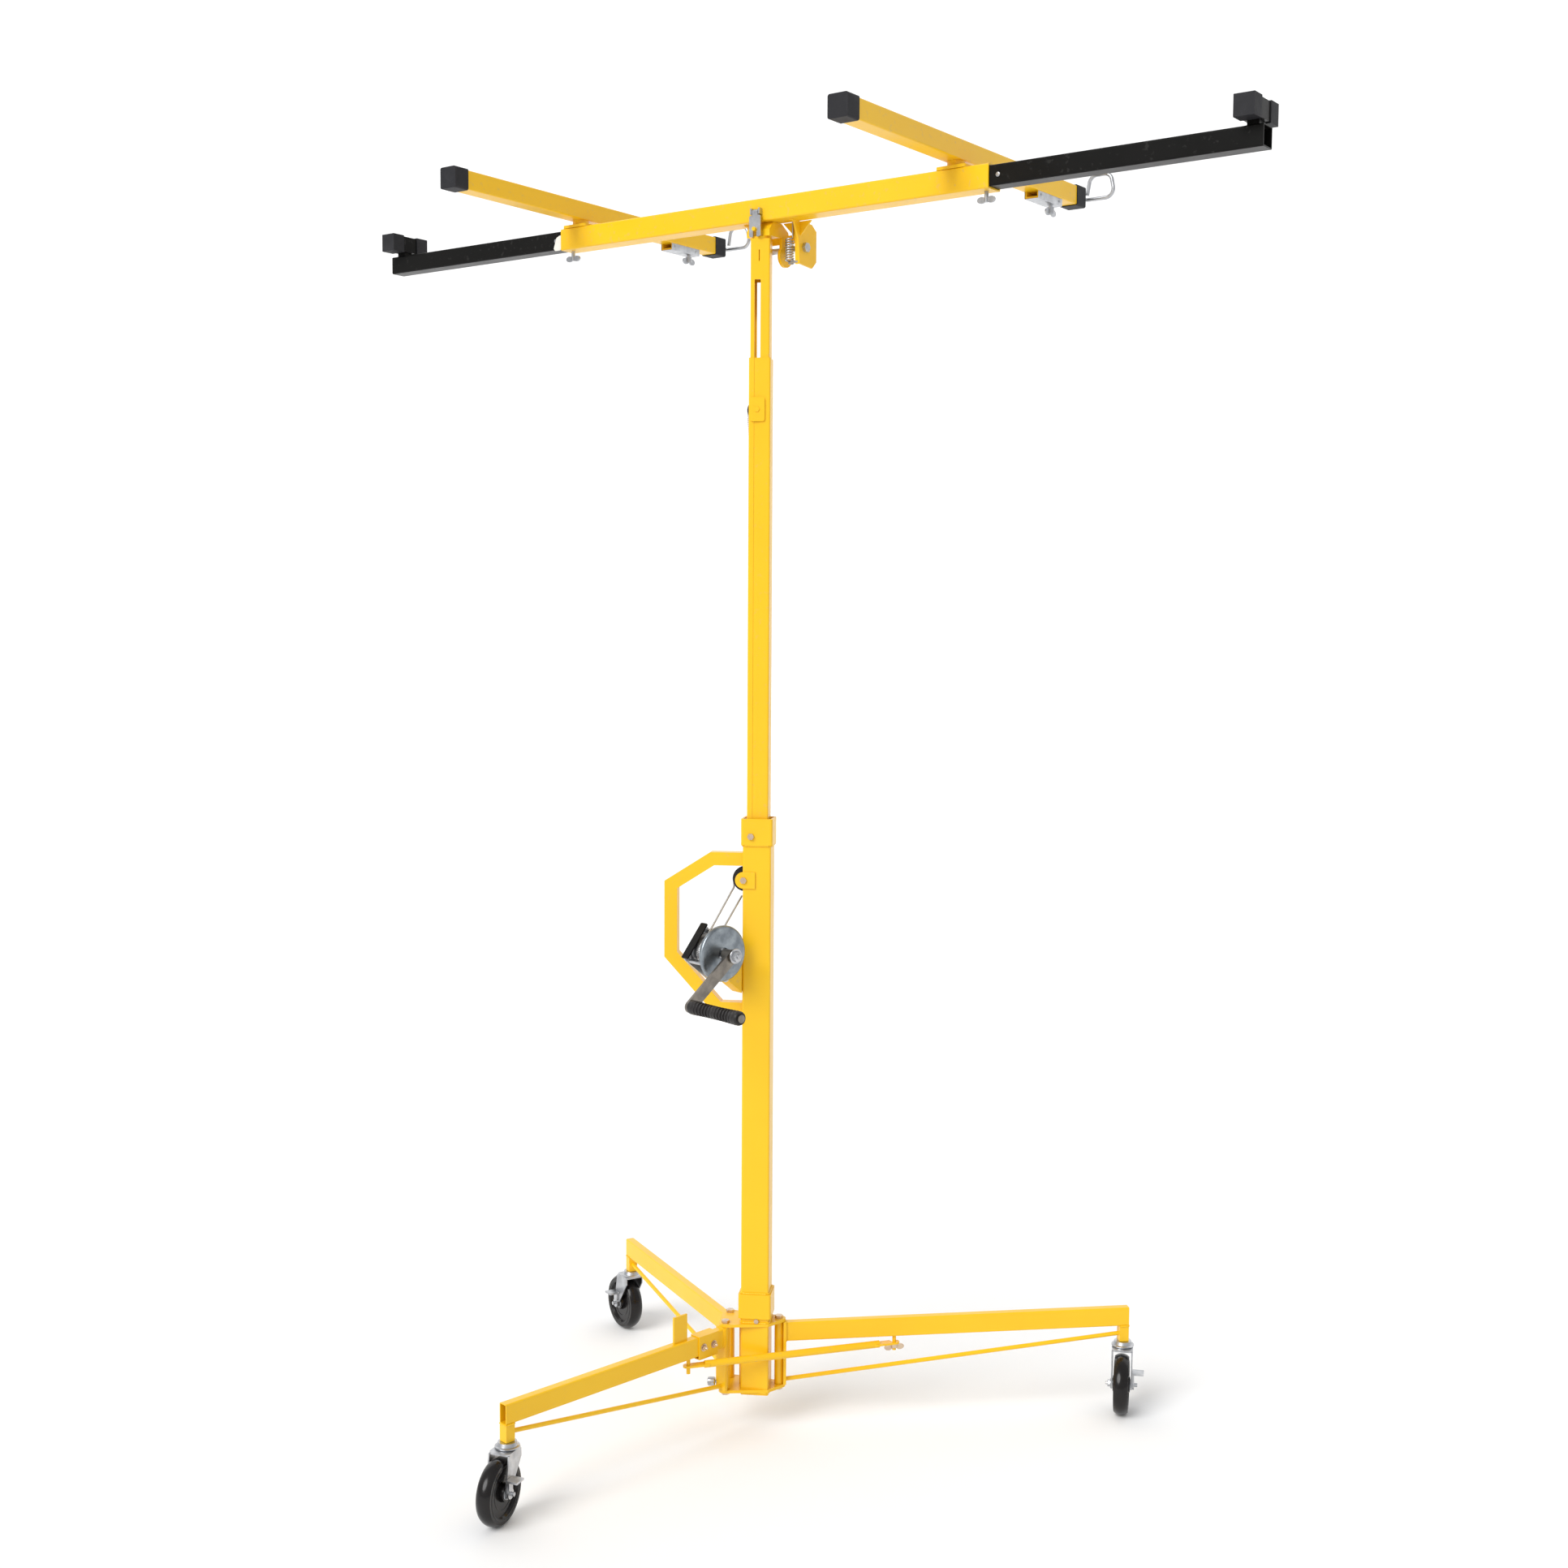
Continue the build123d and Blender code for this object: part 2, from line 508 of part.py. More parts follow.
# ---------------------------------------------------------------- legs
def leg_frame(reach, stud_reach, clamp):
    """A leg along +X from its pin: tube, hinge post, caster post and the thin brace rod below."""
    tube_foot = LEG_TOP - LEG_TALL
    with BuildPart() as frame:
        with BuildSketch(Plane.YZ.offset(14)):
            with Locations((0, LEG_TOP - LEG_TALL / 2)):
                RectangleRounded(LEG_WIDE, LEG_TALL, 3)
                RectangleRounded(LEG_WIDE - 2 * LEG_WALL, LEG_TALL - 2 * LEG_WALL, 1.5, mode=Mode.SUBTRACT)
        extrude(amount=reach + 10 - 14)
        with BuildSketch(level(HUB_LOW + HUB_PLATE + 0.5)):
            Circle(9)
            with Locations((11, 0)):
                Rectangle(6, 28)
            Circle(PIN_R + RUNNING, mode=Mode.SUBTRACT)
        extrude(amount=HUB_HIGH - HUB_LOW - HUB_PLATE - 1)
        with BuildSketch(level(POST_FOOT)):
            with Locations((reach, 0)):
                Rectangle(LEG_WIDE, LEG_WIDE)
                Circle(STEM_R + RUNNING, mode=Mode.SUBTRACT)
        extrude(amount=tube_foot - POST_FOOT)
        rod_start, rod_end = Vector(12, 0, 98), Vector(reach - 8, 0, 164)
        with BuildSketch(Plane(origin=rod_start, z_dir=rod_end - rod_start)):
            Circle(ROD_R)
        extrude(amount=(rod_end - rod_start).length)
        if stud_reach:
            with BuildSketch(level(BRACE_Z - 16)):
                with Locations((stud_reach, 0)):
                    Circle(4)
            extrude(amount=tube_foot - BRACE_Z + 16)
        if clamp:
            with BuildSketch(Plane.YZ.offset(34)):
                with Locations((0, LEG_TOP - 22)):
                    Rectangle(LEG_WIDE + 6, 48)
                    Rectangle(LEG_WIDE, LEG_TALL + 4, mode=Mode.SUBTRACT)
            extrude(amount=52)
            with Locations((128, 0, LEG_TOP + 27)):
                Box(36, 4, 56)
    return frame.part


STUDS = {"front": BRACE_FRONT_REACH, "right": BRACE_RIGHT_REACH, "rear": 0}
for name, leg in LEGS.items():
    piece = leg_frame(leg["reach"], STUDS[name], name == "front")
    finish(piece, f"leg_{name}", Location((*leg["pin"], 0), (0, 0, leg["turn"])))


def on_leg(name, reach):
    """A point on a leg's centreline, in plan."""
    leg = LEGS[name]
    turn = radians(leg["turn"])
    return Vector(leg["pin"][0] + reach * cos(turn), leg["pin"][1] + reach * sin(turn), BRACE_Z)


brace_start = on_leg("front", BRACE_FRONT_REACH)
brace_end = on_leg("right", BRACE_RIGHT_REACH)
brace_line = brace_end - brace_start
BRACE = Location(Plane(origin=brace_start, x_dir=brace_line, z_dir=(0, 0, 1)))
TAB_LONG = 34.0
NOTCH_FLARE = 72.0
with BuildPart() as leg_brace:
    with BuildSketch(Plane.YZ.offset(TAB_LONG)):
        Circle(BRACE_R)
        Circle(BRACE_R - 1.5, mode=Mode.SUBTRACT)
    extrude(amount=brace_line.length - 2 * TAB_LONG)
    with BuildSketch(level(-BRACE_TAB / 2)):
        with Locations((TAB_LONG / 2 + 2, 0)):
            SlotOverall(TAB_LONG + 26, 19)
        Circle(4 + RUNNING, mode=Mode.SUBTRACT)
    extrude(amount=BRACE_TAB)
    with BuildSketch(level(-BRACE_TAB / 2)):
        with Locations((brace_line.length - TAB_LONG / 2 - 2, 0)):
            SlotOverall(TAB_LONG + 26, 19)
    extrude(amount=BRACE_TAB)
    # Open notch that hooks on the long leg's stud and frees sideways.
    with BuildSketch(level(-BRACE_TAB)):
        with Locations((brace_line.length, 0)):
            Circle(4.6)
        with Locations((brace_line.length, 7)):
            Trapezoid(18.4, 14, NOTCH_FLARE, rotation=180)
    extrude(amount=2 * BRACE_TAB, mode=Mode.SUBTRACT)
finish(leg_brace.part, "leg_brace", BRACE)

with BuildPart() as brace_nut:
    with BuildSketch(level(-BRACE_TAB / 2 - 8.4)):
        Circle(8)
        Circle(4 + RUNNING, mode=Mode.SUBTRACT)
    extrude(amount=8)
    with BuildSketch(Plane.XZ.offset(-1.5)):
        with Locations((-13, -10), (13, -10)):
            Ellipse(9, 6)
    extrude(amount=3)
    with BuildSketch(level(-BRACE_TAB / 2 - 18)):
        Circle(4 + RUNNING)
    extrude(amount=18, mode=Mode.SUBTRACT)
finish(brace_nut.part, "brace_nut", Location(Plane(origin=brace_end, x_dir=brace_line, z_dir=(0, 0, 1))))

# ---------------------------------------------------------------- casters
FORK_SIDE = 19.5  # inner face of a fork's side plate
CROWN = 132.0


def caster_fork():
    """A swivelling fork about the Z axis, with its wheel's axle trailing along +X."""
    with BuildPart() as fork:
        with BuildSketch(level(CROWN)):
            with Locations((8, 0)):
                RectangleRounded(50, 2 * FORK_SIDE + 5, 8)
        extrude(amount=4)
        with BuildSketch(level(CROWN + 4)):
            Circle(22)
        extrude(amount=POST_FOOT - CROWN - 4.5, taper=20)
        with BuildSketch(level(CROWN + 4)):
            Circle(STEM_R)
        extrude(amount=LEG_TOP - LEG_TALL - CROWN - 5)
        for side in (-FORK_SIDE - 2.5, FORK_SIDE):
            with BuildSketch(Plane.XZ.offset(-side)):
                with BuildLine():
                    Polyline(
                        (-14, CROWN + 1), (32, CROWN + 1), (TRAIL + 10, WHEEL_R + 4),
                        (TRAIL + 8, WHEEL_R - 9), (TRAIL - 8, WHEEL_R - 9), (TRAIL - 11, WHEEL_R + 4),
                        (-14, CROWN - 14), close=True,
                    )
                make_face()
                with Locations((TRAIL, WHEEL_R)):
                    Circle(WHEEL_AXLE_R, mode=Mode.SUBTRACT)
            extrude(amount=-2.5)
        with BuildSketch(Plane.XZ.offset(-FORK_SIDE - 14)):
            with Locations((TRAIL, WHEEL_R)):
                Circle(WHEEL_AXLE_R)
        extrude(amount=2 * FORK_SIDE + 20)
    return fork.part


def caster_wheel():
    """A wheel with a crowned tread about the Y axis through the axle."""
    half = WHEEL_WIDE / 2
    with BuildPart() as wheel:
        with BuildSketch(Plane.XZ):
            with BuildLine():
                Polyline((WHEEL_AXLE_R + RUNNING, half + 3), (WHEEL_AXLE_R + RUNNING, -half - 3))
                Polyline((WHEEL_AXLE_R + RUNNING, -half - 3), (16, -half - 3), (18, -half + 5))
                Polyline((18, -half + 5), (44, -half + 5), (47, -half), (WHEEL_R - 6, -half))
                ThreePointArc((WHEEL_R - 6, -half), (WHEEL_R, 0), (WHEEL_R - 6, half))
                Polyline((WHEEL_R - 6, half), (47, half), (44, half - 5), (18, half - 5))
                Polyline((18, half - 5), (16, half + 3), (WHEEL_AXLE_R + RUNNING, half + 3))
            make_face()
        revolve(axis=Axis.Z)
    return wheel.part.rotate(Axis.X, 90).moved(Location((TRAIL, 0, WHEEL_R)))


def brake_lever():
    """A pedal on the end of the axle, outside the fork."""
    with BuildPart() as lever:
        with BuildSketch(Plane.XZ.offset(-FORK_SIDE - 3)):
            with Locations((TRAIL, WHEEL_R)):
                Circle(10)
            with Locations((TRAIL, WHEEL_R + 14)):
                Rectangle(14, 28)
            with Locations((TRAIL, WHEEL_R)):
                Circle(WHEEL_AXLE_R + RUNNING, mode=Mode.SUBTRACT)
        extrude(amount=-4)
        with Locations((TRAIL, FORK_SIDE + 15, WHEEL_R + 27)):
            Box(26, 24, 4)
    return lever.part


for name, leg in LEGS.items():
    turn = radians(leg["turn"])
    axis_x = leg["pin"][0] + leg["reach"] * cos(turn)
    axis_y = leg["pin"][1] + leg["reach"] * sin(turn)
    caster_place = Location((axis_x, axis_y, 0), (0, 0, leg["caster"]))
    finish(caster_fork(), f"caster_fork_{name}", caster_place)
    finish(caster_wheel(), f"caster_wheel_{name}", caster_place)
    finish(brake_lever(), f"caster_brake_{name}", caster_place)

# ---------------------------------------------------------------- swivelling head
LUG_IN, LUG_OUT = 22.0, 28.0
HEAD_TOP, HEAD_FRONT = BEAM_FOOT - 0.5, 12.0
LATCH_STAND, LATCH_THICK, LATCH_PIN_R = 6.0, 3.0, 2.0
LATCH_PIVOT_Z, LATCH_STUD_Z, LATCH_FOOT = 2493.0, 2458.0, 2443.0
with BuildPart() as swivel_head:
    with BuildSketch(level(SOCKET_FOOT + 1)):
        Circle(SWIVEL_R)
    extrude(amount=INNER_TOP - SOCKET_FOOT - 1)
    with BuildSketch(level(INNER_TOP)):
        Circle(INNER / 2 - 0.5)
    extrude(amount=5)
    with BuildSketch(level(INNER_TOP + 5)):
        with Locations((0, (22 - HEAD_FRONT) / 2)):
            Rectangle(2 * LUG_OUT, 22 + HEAD_FRONT)
    extrude(amount=HEAD_TOP - INNER_TOP - 5)
    for side in (LUG_IN, -LUG_OUT):
        with BuildSketch(Plane.YZ.offset(side)):
            with BuildLine():
                Polyline(
                    (-HEAD_FRONT, HEAD_TOP), (-HEAD_FRONT, INNER_TOP + 6), (30, INNER_TOP + 6),
                    (30, TILT_Z - 10), (TILT_N, TILT_Z - 14), (TILT_N + 14, TILT_Z),
                    (TILT_N + 4, HEAD_TOP - 14), (30, HEAD_TOP), close=True,
                )
            make_face()
            with Locations((TILT_N - 3, TILT_Z - 14)):
                Circle(21)
            with Locations((TILT_N, TILT_Z)):
                Circle(16)
                Circle(TILT_BOLT_R + RUNNING, mode=Mode.SUBTRACT)
        extrude(amount=LUG_OUT - LUG_IN)
    # The front of the head is cut back along the path of the latch as the cradle tilts.
    with BuildSketch(Plane.YZ.offset(-LUG_OUT)):
        Polygon(
            (-HEAD_FRONT, HEAD_TOP - 16), (-HEAD_FRONT + 14, HEAD_TOP), (-HEAD_FRONT, HEAD_TOP), align=None,
        )
    extrude(amount=2 * LUG_OUT, mode=Mode.SUBTRACT)
    # Stud that the latch straddles.
    with BuildSketch(Plane.XZ.offset(HEAD_FRONT - 2)):
        with Locations((0, LATCH_STUD_Z)):
            Circle(4)
    extrude(amount=LATCH_STAND + 12)
finish(swivel_head.part, "swivel_head", CRADLE)

# ---------------------------------------------------------------- cradle
beam_mid = BEAM_FOOT + BEAM / 2
beam_top = BEAM_FOOT + BEAM
with BuildPart() as main_beam:
    with BuildSketch(Plane.YZ.offset(-BEAM_HALF)):
        with Locations((BEAM_N, beam_mid)):
            square_tube(BEAM, BEAM_WALL, 3.5)
    extrude(amount=2 * BEAM_HALF)
    # Raised pads for the crossarm pivots.
    for place in ARM_PLACES.values():
        with BuildSketch(level(beam_top)):
            with Locations((place, BEAM_N)):
                RectangleRounded(64, BEAM, 6)
        extrude(amount=6)
        with BuildSketch(level(beam_top + 6)):
            with Locations((place, BEAM_N)):
                Circle(17)
        extrude(amount=ARM_FOOT - beam_top - 6)
finish(main_beam.part, "main_beam", CRADLE)

BRACKET_RIGHT, BRACKET_LEFT, BRACKET_PLATE = 68.0, -44.0, 4.0
WEB_N, GUSSET_N = 84.0, 32.0
with BuildPart() as tilt_bracket:
    for side in (BRACKET_RIGHT, BRACKET_LEFT):
        with BuildSketch(Plane.YZ.offset(side)):
            with BuildLine():
                Polyline(
                    (10, BEAM_FOOT), (26, TILT_Z + 14), (30, 2392), (74, 2388), (WEB_N + 4, 2402),
                    (WEB_N + 4, BEAM_FOOT - 12), (WEB_N - 12, BEAM_FOOT), close=True,
                )
            make_face()
            with Locations((TILT_N, TILT_Z)):
                Circle(TILT_BOLT_R, mode=Mode.SUBTRACT)
        extrude(amount=BRACKET_PLATE)
    # Gusset under the beam, set across the front of the right cheek.
    with BuildSketch(Plane.XZ.offset(-GUSSET_N)):
        Polygon(
            (30, BEAM_FOOT), (98, BEAM_FOOT), (BRACKET_RIGHT + BRACKET_PLATE, BEAM_FOOT - 28),
            (BRACKET_RIGHT + BRACKET_PLATE, 2392), (60, 2392), (58, 2446), align=None,
        )
    extrude(amount=-BRACKET_PLATE)
    web_foot = 2446.0
    with Locations(((BRACKET_RIGHT + BRACKET_LEFT + 4) / 2, WEB_N + 2, (web_foot + BEAM_FOOT - 12) / 2)):
        Box(BRACKET_RIGHT - BRACKET_LEFT + 4, 4, BEAM_FOOT - 12 - web_foot)
finish(tilt_bracket.part, "tilt_bracket", CRADLE)

with BuildPart() as tilt_bolt:
    with BuildSketch(Plane.YZ.offset(BRACKET_LEFT)):
        with Locations((TILT_N, TILT_Z)):
            Circle(TILT_BOLT_R)
    extrude(amount=BRACKET_RIGHT + BRACKET_PLATE - BRACKET_LEFT)
    for face in (BRACKET_LEFT - 7, BRACKET_RIGHT + BRACKET_PLATE):
        with BuildSketch(Plane.YZ.offset(face)):
            with Locations((TILT_N, TILT_Z)):
                RegularPolygon(10, 6)
        extrude(amount=7)
finish(tilt_bolt.part, "tilt_bolt", CRADLE)

# Upright return spring between the head's lug and the bracket's cheek.
SPRING_R, SPRING_WIRE, SPRING_TURNS = 8.0, 1.6, 9
SPRING_N, SPRING_FOOT, SPRING_LONG = 29.0, 2398.0, 44.0
with BuildPart() as tilt_spring:
    with BuildLine():
        Helix(pitch=SPRING_LONG / SPRING_TURNS, height=SPRING_LONG, radius=SPRING_R)
    with BuildSketch(Plane.XZ):
        with Locations((SPRING_R, 0)):
            Circle(SPRING_WIRE)
    sweep(is_frenet=True)
spring_place = CRADLE * Location(((LUG_OUT + BRACKET_RIGHT) / 2, SPRING_N, SPRING_FOOT))
finish(tilt_spring.part, "tilt_spring", spring_place)

# Forked latch plate that hangs from a pin in front of the beam.
latch_face = BEAM / 2 - BEAM_N
pin_stand = latch_face + 5
neck_foot = LATCH_PIVOT_Z - 8
with BuildPart() as tilt_latch:
    with BuildSketch(Plane.XZ.offset(latch_face + LATCH_STAND)):
        with Locations((0, (neck_foot + LATCH_FOOT) / 2)):
            RectangleRounded(28, neck_foot - LATCH_FOOT, 4)
        with Locations((0, neck_foot)):
            Rectangle(14, 16)
        with Locations((0, LATCH_STUD_Z - 12)):
            Rectangle(9, 24, mode=Mode.SUBTRACT)
        with Locations((0, LATCH_STUD_Z)):
            Circle(4.5, mode=Mode.SUBTRACT)
    extrude(amount=LATCH_THICK)
    with BuildSketch(Plane.YZ.offset(-7)):
        with Locations((-pin_stand, LATCH_PIVOT_Z)):
            Circle(4)
    extrude(amount=14)
    with BuildSketch(Plane.YZ.offset(-8)):
        with Locations((-pin_stand, LATCH_PIVOT_Z)):
            Circle(LATCH_PIN_R + RUNNING)
    extrude(amount=16, mode=Mode.SUBTRACT)
finish(tilt_latch.part, "tilt_latch", CRADLE)

with BuildPart() as cradle_bolts:
    # The latch's pin, with an ear at each end.
    with BuildSketch(Plane.YZ.offset(-12)):
        with Locations((-pin_stand, LATCH_PIVOT_Z)):
            Circle(LATCH_PIN_R)
    extrude(amount=24)
    for foot in (-12, 8):
        with BuildSketch(Plane.YZ.offset(foot)):
            with Locations((-latch_face - 4.5, LATCH_PIVOT_Z)):
                Rectangle(9, 12)
        extrude(amount=4)
    for place in ARM_PLACES.values():
        with BuildSketch(level(ARM_FOOT)):
            with Locations((place, BEAM_N)):
                Circle(6)
        extrude(amount=ARM_WALL + 0.5)
        with BuildSketch(level(ARM_FOOT + ARM_WALL + 0.5)):
            with Locations((place, BEAM_N)):
                RegularPolygon(10, 6)
        extrude(amount=7)
    for end in (-BEAM_HALF + 16, BEAM_HALF - 16):
        with BuildSketch(level(BEAM_FOOT - 20)):
            with Locations((end, BEAM_N)):
                Circle(4)
        extrude(amount=20)
        with BuildSketch(Plane.XZ.offset(-BEAM_N - 2)):
            with Locations((end - 10, BEAM_FOOT - 16), (end + 10, BEAM_FOOT - 16)):
                Ellipse(9, 6)
        extrude(amount=4)
finish(cradle_bolts.part, "cradle_bolts", CRADLE)

# ---------------------------------------------------------------- crossarms and hooks
hook_z = ARM_FOOT + ARM / 2
hook_bore = HOOK_WIRE_R + RUNNING
HOOK_ROOT = 300.0  # where the hook's wire starts inside the arm
CARRIER_START, CARRIER_END = 300.0, 396.0
SCREW_N = 378.0
for name, place in ARM_PLACES.items():
    arm_place = CRADLE * Location((place, 0, 0))
    with BuildPart() as crossarm:
        with BuildSketch(Plane.XZ.offset(-ARM_NEAR - CAP_SKIN)):
            with Locations((0, hook_z)):
                square_tube(ARM, ARM_WALL, 3)
        extrude(amount=-(ARM_FAR - ARM_NEAR - 2 * CAP_SKIN))
        with BuildSketch(level(ARM_FOOT - 1)):
            with Locations((0, BEAM_N)):
                Circle(6 + RUNNING)
        extrude(amount=ARM_WALL + 2, mode=Mode.SUBTRACT)
        # Channel welded under the arm, drilled through for the hook's lock screw.
        with BuildSketch(Plane.XZ.offset(-CARRIER_START)):
            with Locations((0, ARM_FOOT - 7)):
                Rectangle(30, 14)
                with Locations((0, 2)):
                    Rectangle(24, 10, mode=Mode.SUBTRACT)
            with Locations((13.5, ARM_FOOT), (-13.5, ARM_FOOT)):
                Rectangle(3, 1)
        extrude(amount=-(CARRIER_END - CARRIER_START))
        with BuildSketch(level(ARM_FOOT - 20)):
            with Locations((0, SCREW_N)):
                Circle(4 + RUNNING)
        extrude(amount=20 + ARM_WALL + 1, mode=Mode.SUBTRACT)
    finish(crossarm.part, f"crossarm_{name}", arm_place)

    with BuildPart() as crossarm_caps:
        skin = ARM + 2 * CAP_SKIN
        for end, way in ((ARM_NEAR, 1), (ARM_FAR, -1)):
            with BuildSketch(Plane.XZ.offset(-end)):
                with Locations((0, hook_z)):
                    RectangleRounded(skin, skin, 4)
            extrude(amount=-way * CAP_LONG)
            with BuildSketch(Plane.XZ.offset(-end - way * CAP_SKIN)):
                with Locations((0, hook_z)):
                    RectangleRounded(ARM, ARM, 3)
            extrude(amount=-way * CAP_LONG, mode=Mode.SUBTRACT)
        with BuildSketch(Plane.XZ.offset(-ARM_FAR - 1)):
            with Locations((0, hook_z)):
                Circle(HOOK_WIRE_R + 0.4)
        extrude(amount=CAP_SKIN + 2, mode=Mode.SUBTRACT)
    finish(crossarm_caps.part, f"crossarm_caps_{name}", arm_place)

    with BuildPart() as hook_screw:
        with BuildSketch(level(ARM_FOOT - 26)):
            with Locations((0, SCREW_N)):
                Circle(4)
        extrude(amount=ARM / 2 + 26 - HOOK_WIRE_R - 0.5)
        with BuildSketch(level(ARM_FOOT - 30)):
            with Locations((0, SCREW_N)):
                Circle(7)
        extrude(amount=12)
        with BuildSketch(Plane.YZ.offset(-1.5)):
            with Locations((SCREW_N - 11, ARM_FOOT - 28), (SCREW_N + 11, ARM_FOOT - 28)):
                Ellipse(10, 7)
        extrude(amount=3)
    finish(hook_screw.part, f"hook_screw_{name}", arm_place)

    # Wire hook: a shaft in the arm, a crank across its end and an upright D loop.
    loop_n = ARM_FAR + 22
    with BuildPart() as panel_hook:
        with BuildLine():
            FilletPolyline(
                (0, HOOK_ROOT, hook_z), (0, loop_n, hook_z), (76, loop_n, hook_z),
                (66, loop_n, hook_z + 48), (20, loop_n, hook_z + 48), (13, loop_n, hook_z + 9),
                radius=17,
            )
        with BuildSketch(Plane.XZ.offset(-HOOK_ROOT)):
            with Locations((0, hook_z)):
                Circle(HOOK_WIRE_R)
        sweep()
    finish(panel_hook.part, f"panel_hook_{name}", arm_place)

# ---------------------------------------------------------------- outriggers
OUTRIGGER_ROOT = 440.0  # the inner end of each outrigger, inside the beam
T_PLACE = OUTRIGGER_REACH - 22
for name, way in (("left", -1), ("right", 1)):
    with BuildPart() as outrigger:
        with BuildSketch(Plane.YZ.offset(way * OUTRIGGER_ROOT)):
            with Locations((BEAM_N, beam_mid)):
                square_tube(OUTRIGGER, OUTRIGGER_WALL, 3)
        extrude(amount=way * (OUTRIGGER_REACH - OUTRIGGER_ROOT))
        with BuildSketch(level(beam_mid + OUTRIGGER / 2)):
            with Locations((way * T_PLACE, BEAM_N)):
                Rectangle(T_POST, T_POST)
        extrude(amount=T_FOOT - beam_mid - OUTRIGGER / 2)
        with Locations((way * T_PLACE, BEAM_N, T_FOOT + ARM / 2)):
            Box(ARM - 4, T_BAR_LONG - 4, ARM - 4)
        with Locations((way * T_PLACE, BEAM_N, T_FOOT + 1)):
            Box(T_POST, T_POST, 2)
    finish(outrigger.part, f"outrigger_{name}", CRADLE)

    with BuildPart() as outrigger_pads:
        for end in (-1, 1):
            with Locations((way * T_PLACE, BEAM_N + end * (T_BAR_LONG / 2 - 16), T_FOOT + ARM / 2)):
                Box(ARM, 32, ARM)
        with Locations((way * T_PLACE, BEAM_N, T_FOOT + ARM / 2)):
            Box(ARM - 4, T_BAR_LONG - 4, ARM - 4, mode=Mode.SUBTRACT)
            Box(T_POST, T_POST, ARM + 2, mode=Mode.SUBTRACT)
    finish(outrigger_pads.part, f"outrigger_pads_{name}", CRADLE)

# ---------------------------------------------------------------- bolts on the mast
lower_span = OUTER / 2 + CHEEK
with BuildPart() as mast_bolts:
    lower_axle = Location((LOWER_SHEAVE_X, 0, LOWER_SHEAVE_Z))
    add(cross_bolt(SHEAVE_AXLE_R, lower_span, -lower_span, 7, 4).moved(lower_axle))
    for place, height, front, size in ((4, 235.5, OUTER / 2, 5.2), (-12, 1245, COLLAR / 2, 7)):
        with BuildSketch(Plane.XZ.offset(front)):
            with Locations((place, height)):
                RegularPolygon(size, 6)
        extrude(amount=5)
    # Hinge pins of the legs, with a head below and a nut above.
    for leg in LEGS.values():
        with BuildSketch(level(HUB_LOW - 3)):
            with Locations(leg["pin"]):
                Circle(PIN_R)
        extrude(amount=HUB_HIGH + HUB_PLATE + 3 - HUB_LOW)
        for foot in (HUB_LOW - 6, HUB_HIGH + HUB_PLATE):
            with BuildSketch(level(foot)):
                with Locations(leg["pin"]):
                    RegularPolygon(8.5, 6)
            extrude(amount=6)
finish(mast_bolts.part, "mast_bolts")
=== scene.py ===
"""Looks of the drywall lift: materials, small hardware, camera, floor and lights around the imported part."""

import json
import math

import bmesh
import bpy
from mathutils import Matrix, Vector


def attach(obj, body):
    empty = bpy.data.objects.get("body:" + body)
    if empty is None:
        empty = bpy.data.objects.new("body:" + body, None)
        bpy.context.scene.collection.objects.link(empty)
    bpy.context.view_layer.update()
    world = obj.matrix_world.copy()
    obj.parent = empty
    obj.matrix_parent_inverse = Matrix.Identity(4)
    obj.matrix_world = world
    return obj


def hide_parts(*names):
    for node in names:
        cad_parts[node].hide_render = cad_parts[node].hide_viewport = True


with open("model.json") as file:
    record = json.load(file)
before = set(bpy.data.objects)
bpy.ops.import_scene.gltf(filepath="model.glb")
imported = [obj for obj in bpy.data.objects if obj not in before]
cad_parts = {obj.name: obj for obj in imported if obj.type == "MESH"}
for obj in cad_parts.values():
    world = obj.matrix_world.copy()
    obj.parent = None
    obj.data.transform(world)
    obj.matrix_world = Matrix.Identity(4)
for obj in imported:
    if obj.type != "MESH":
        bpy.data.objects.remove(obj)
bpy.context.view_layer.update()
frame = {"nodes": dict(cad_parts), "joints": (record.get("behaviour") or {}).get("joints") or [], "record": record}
NODES = frame["nodes"]
JOINTS = {joint["name"]: joint for joint in frame["joints"]}
LEG_NAMES = ("front", "rear", "right")


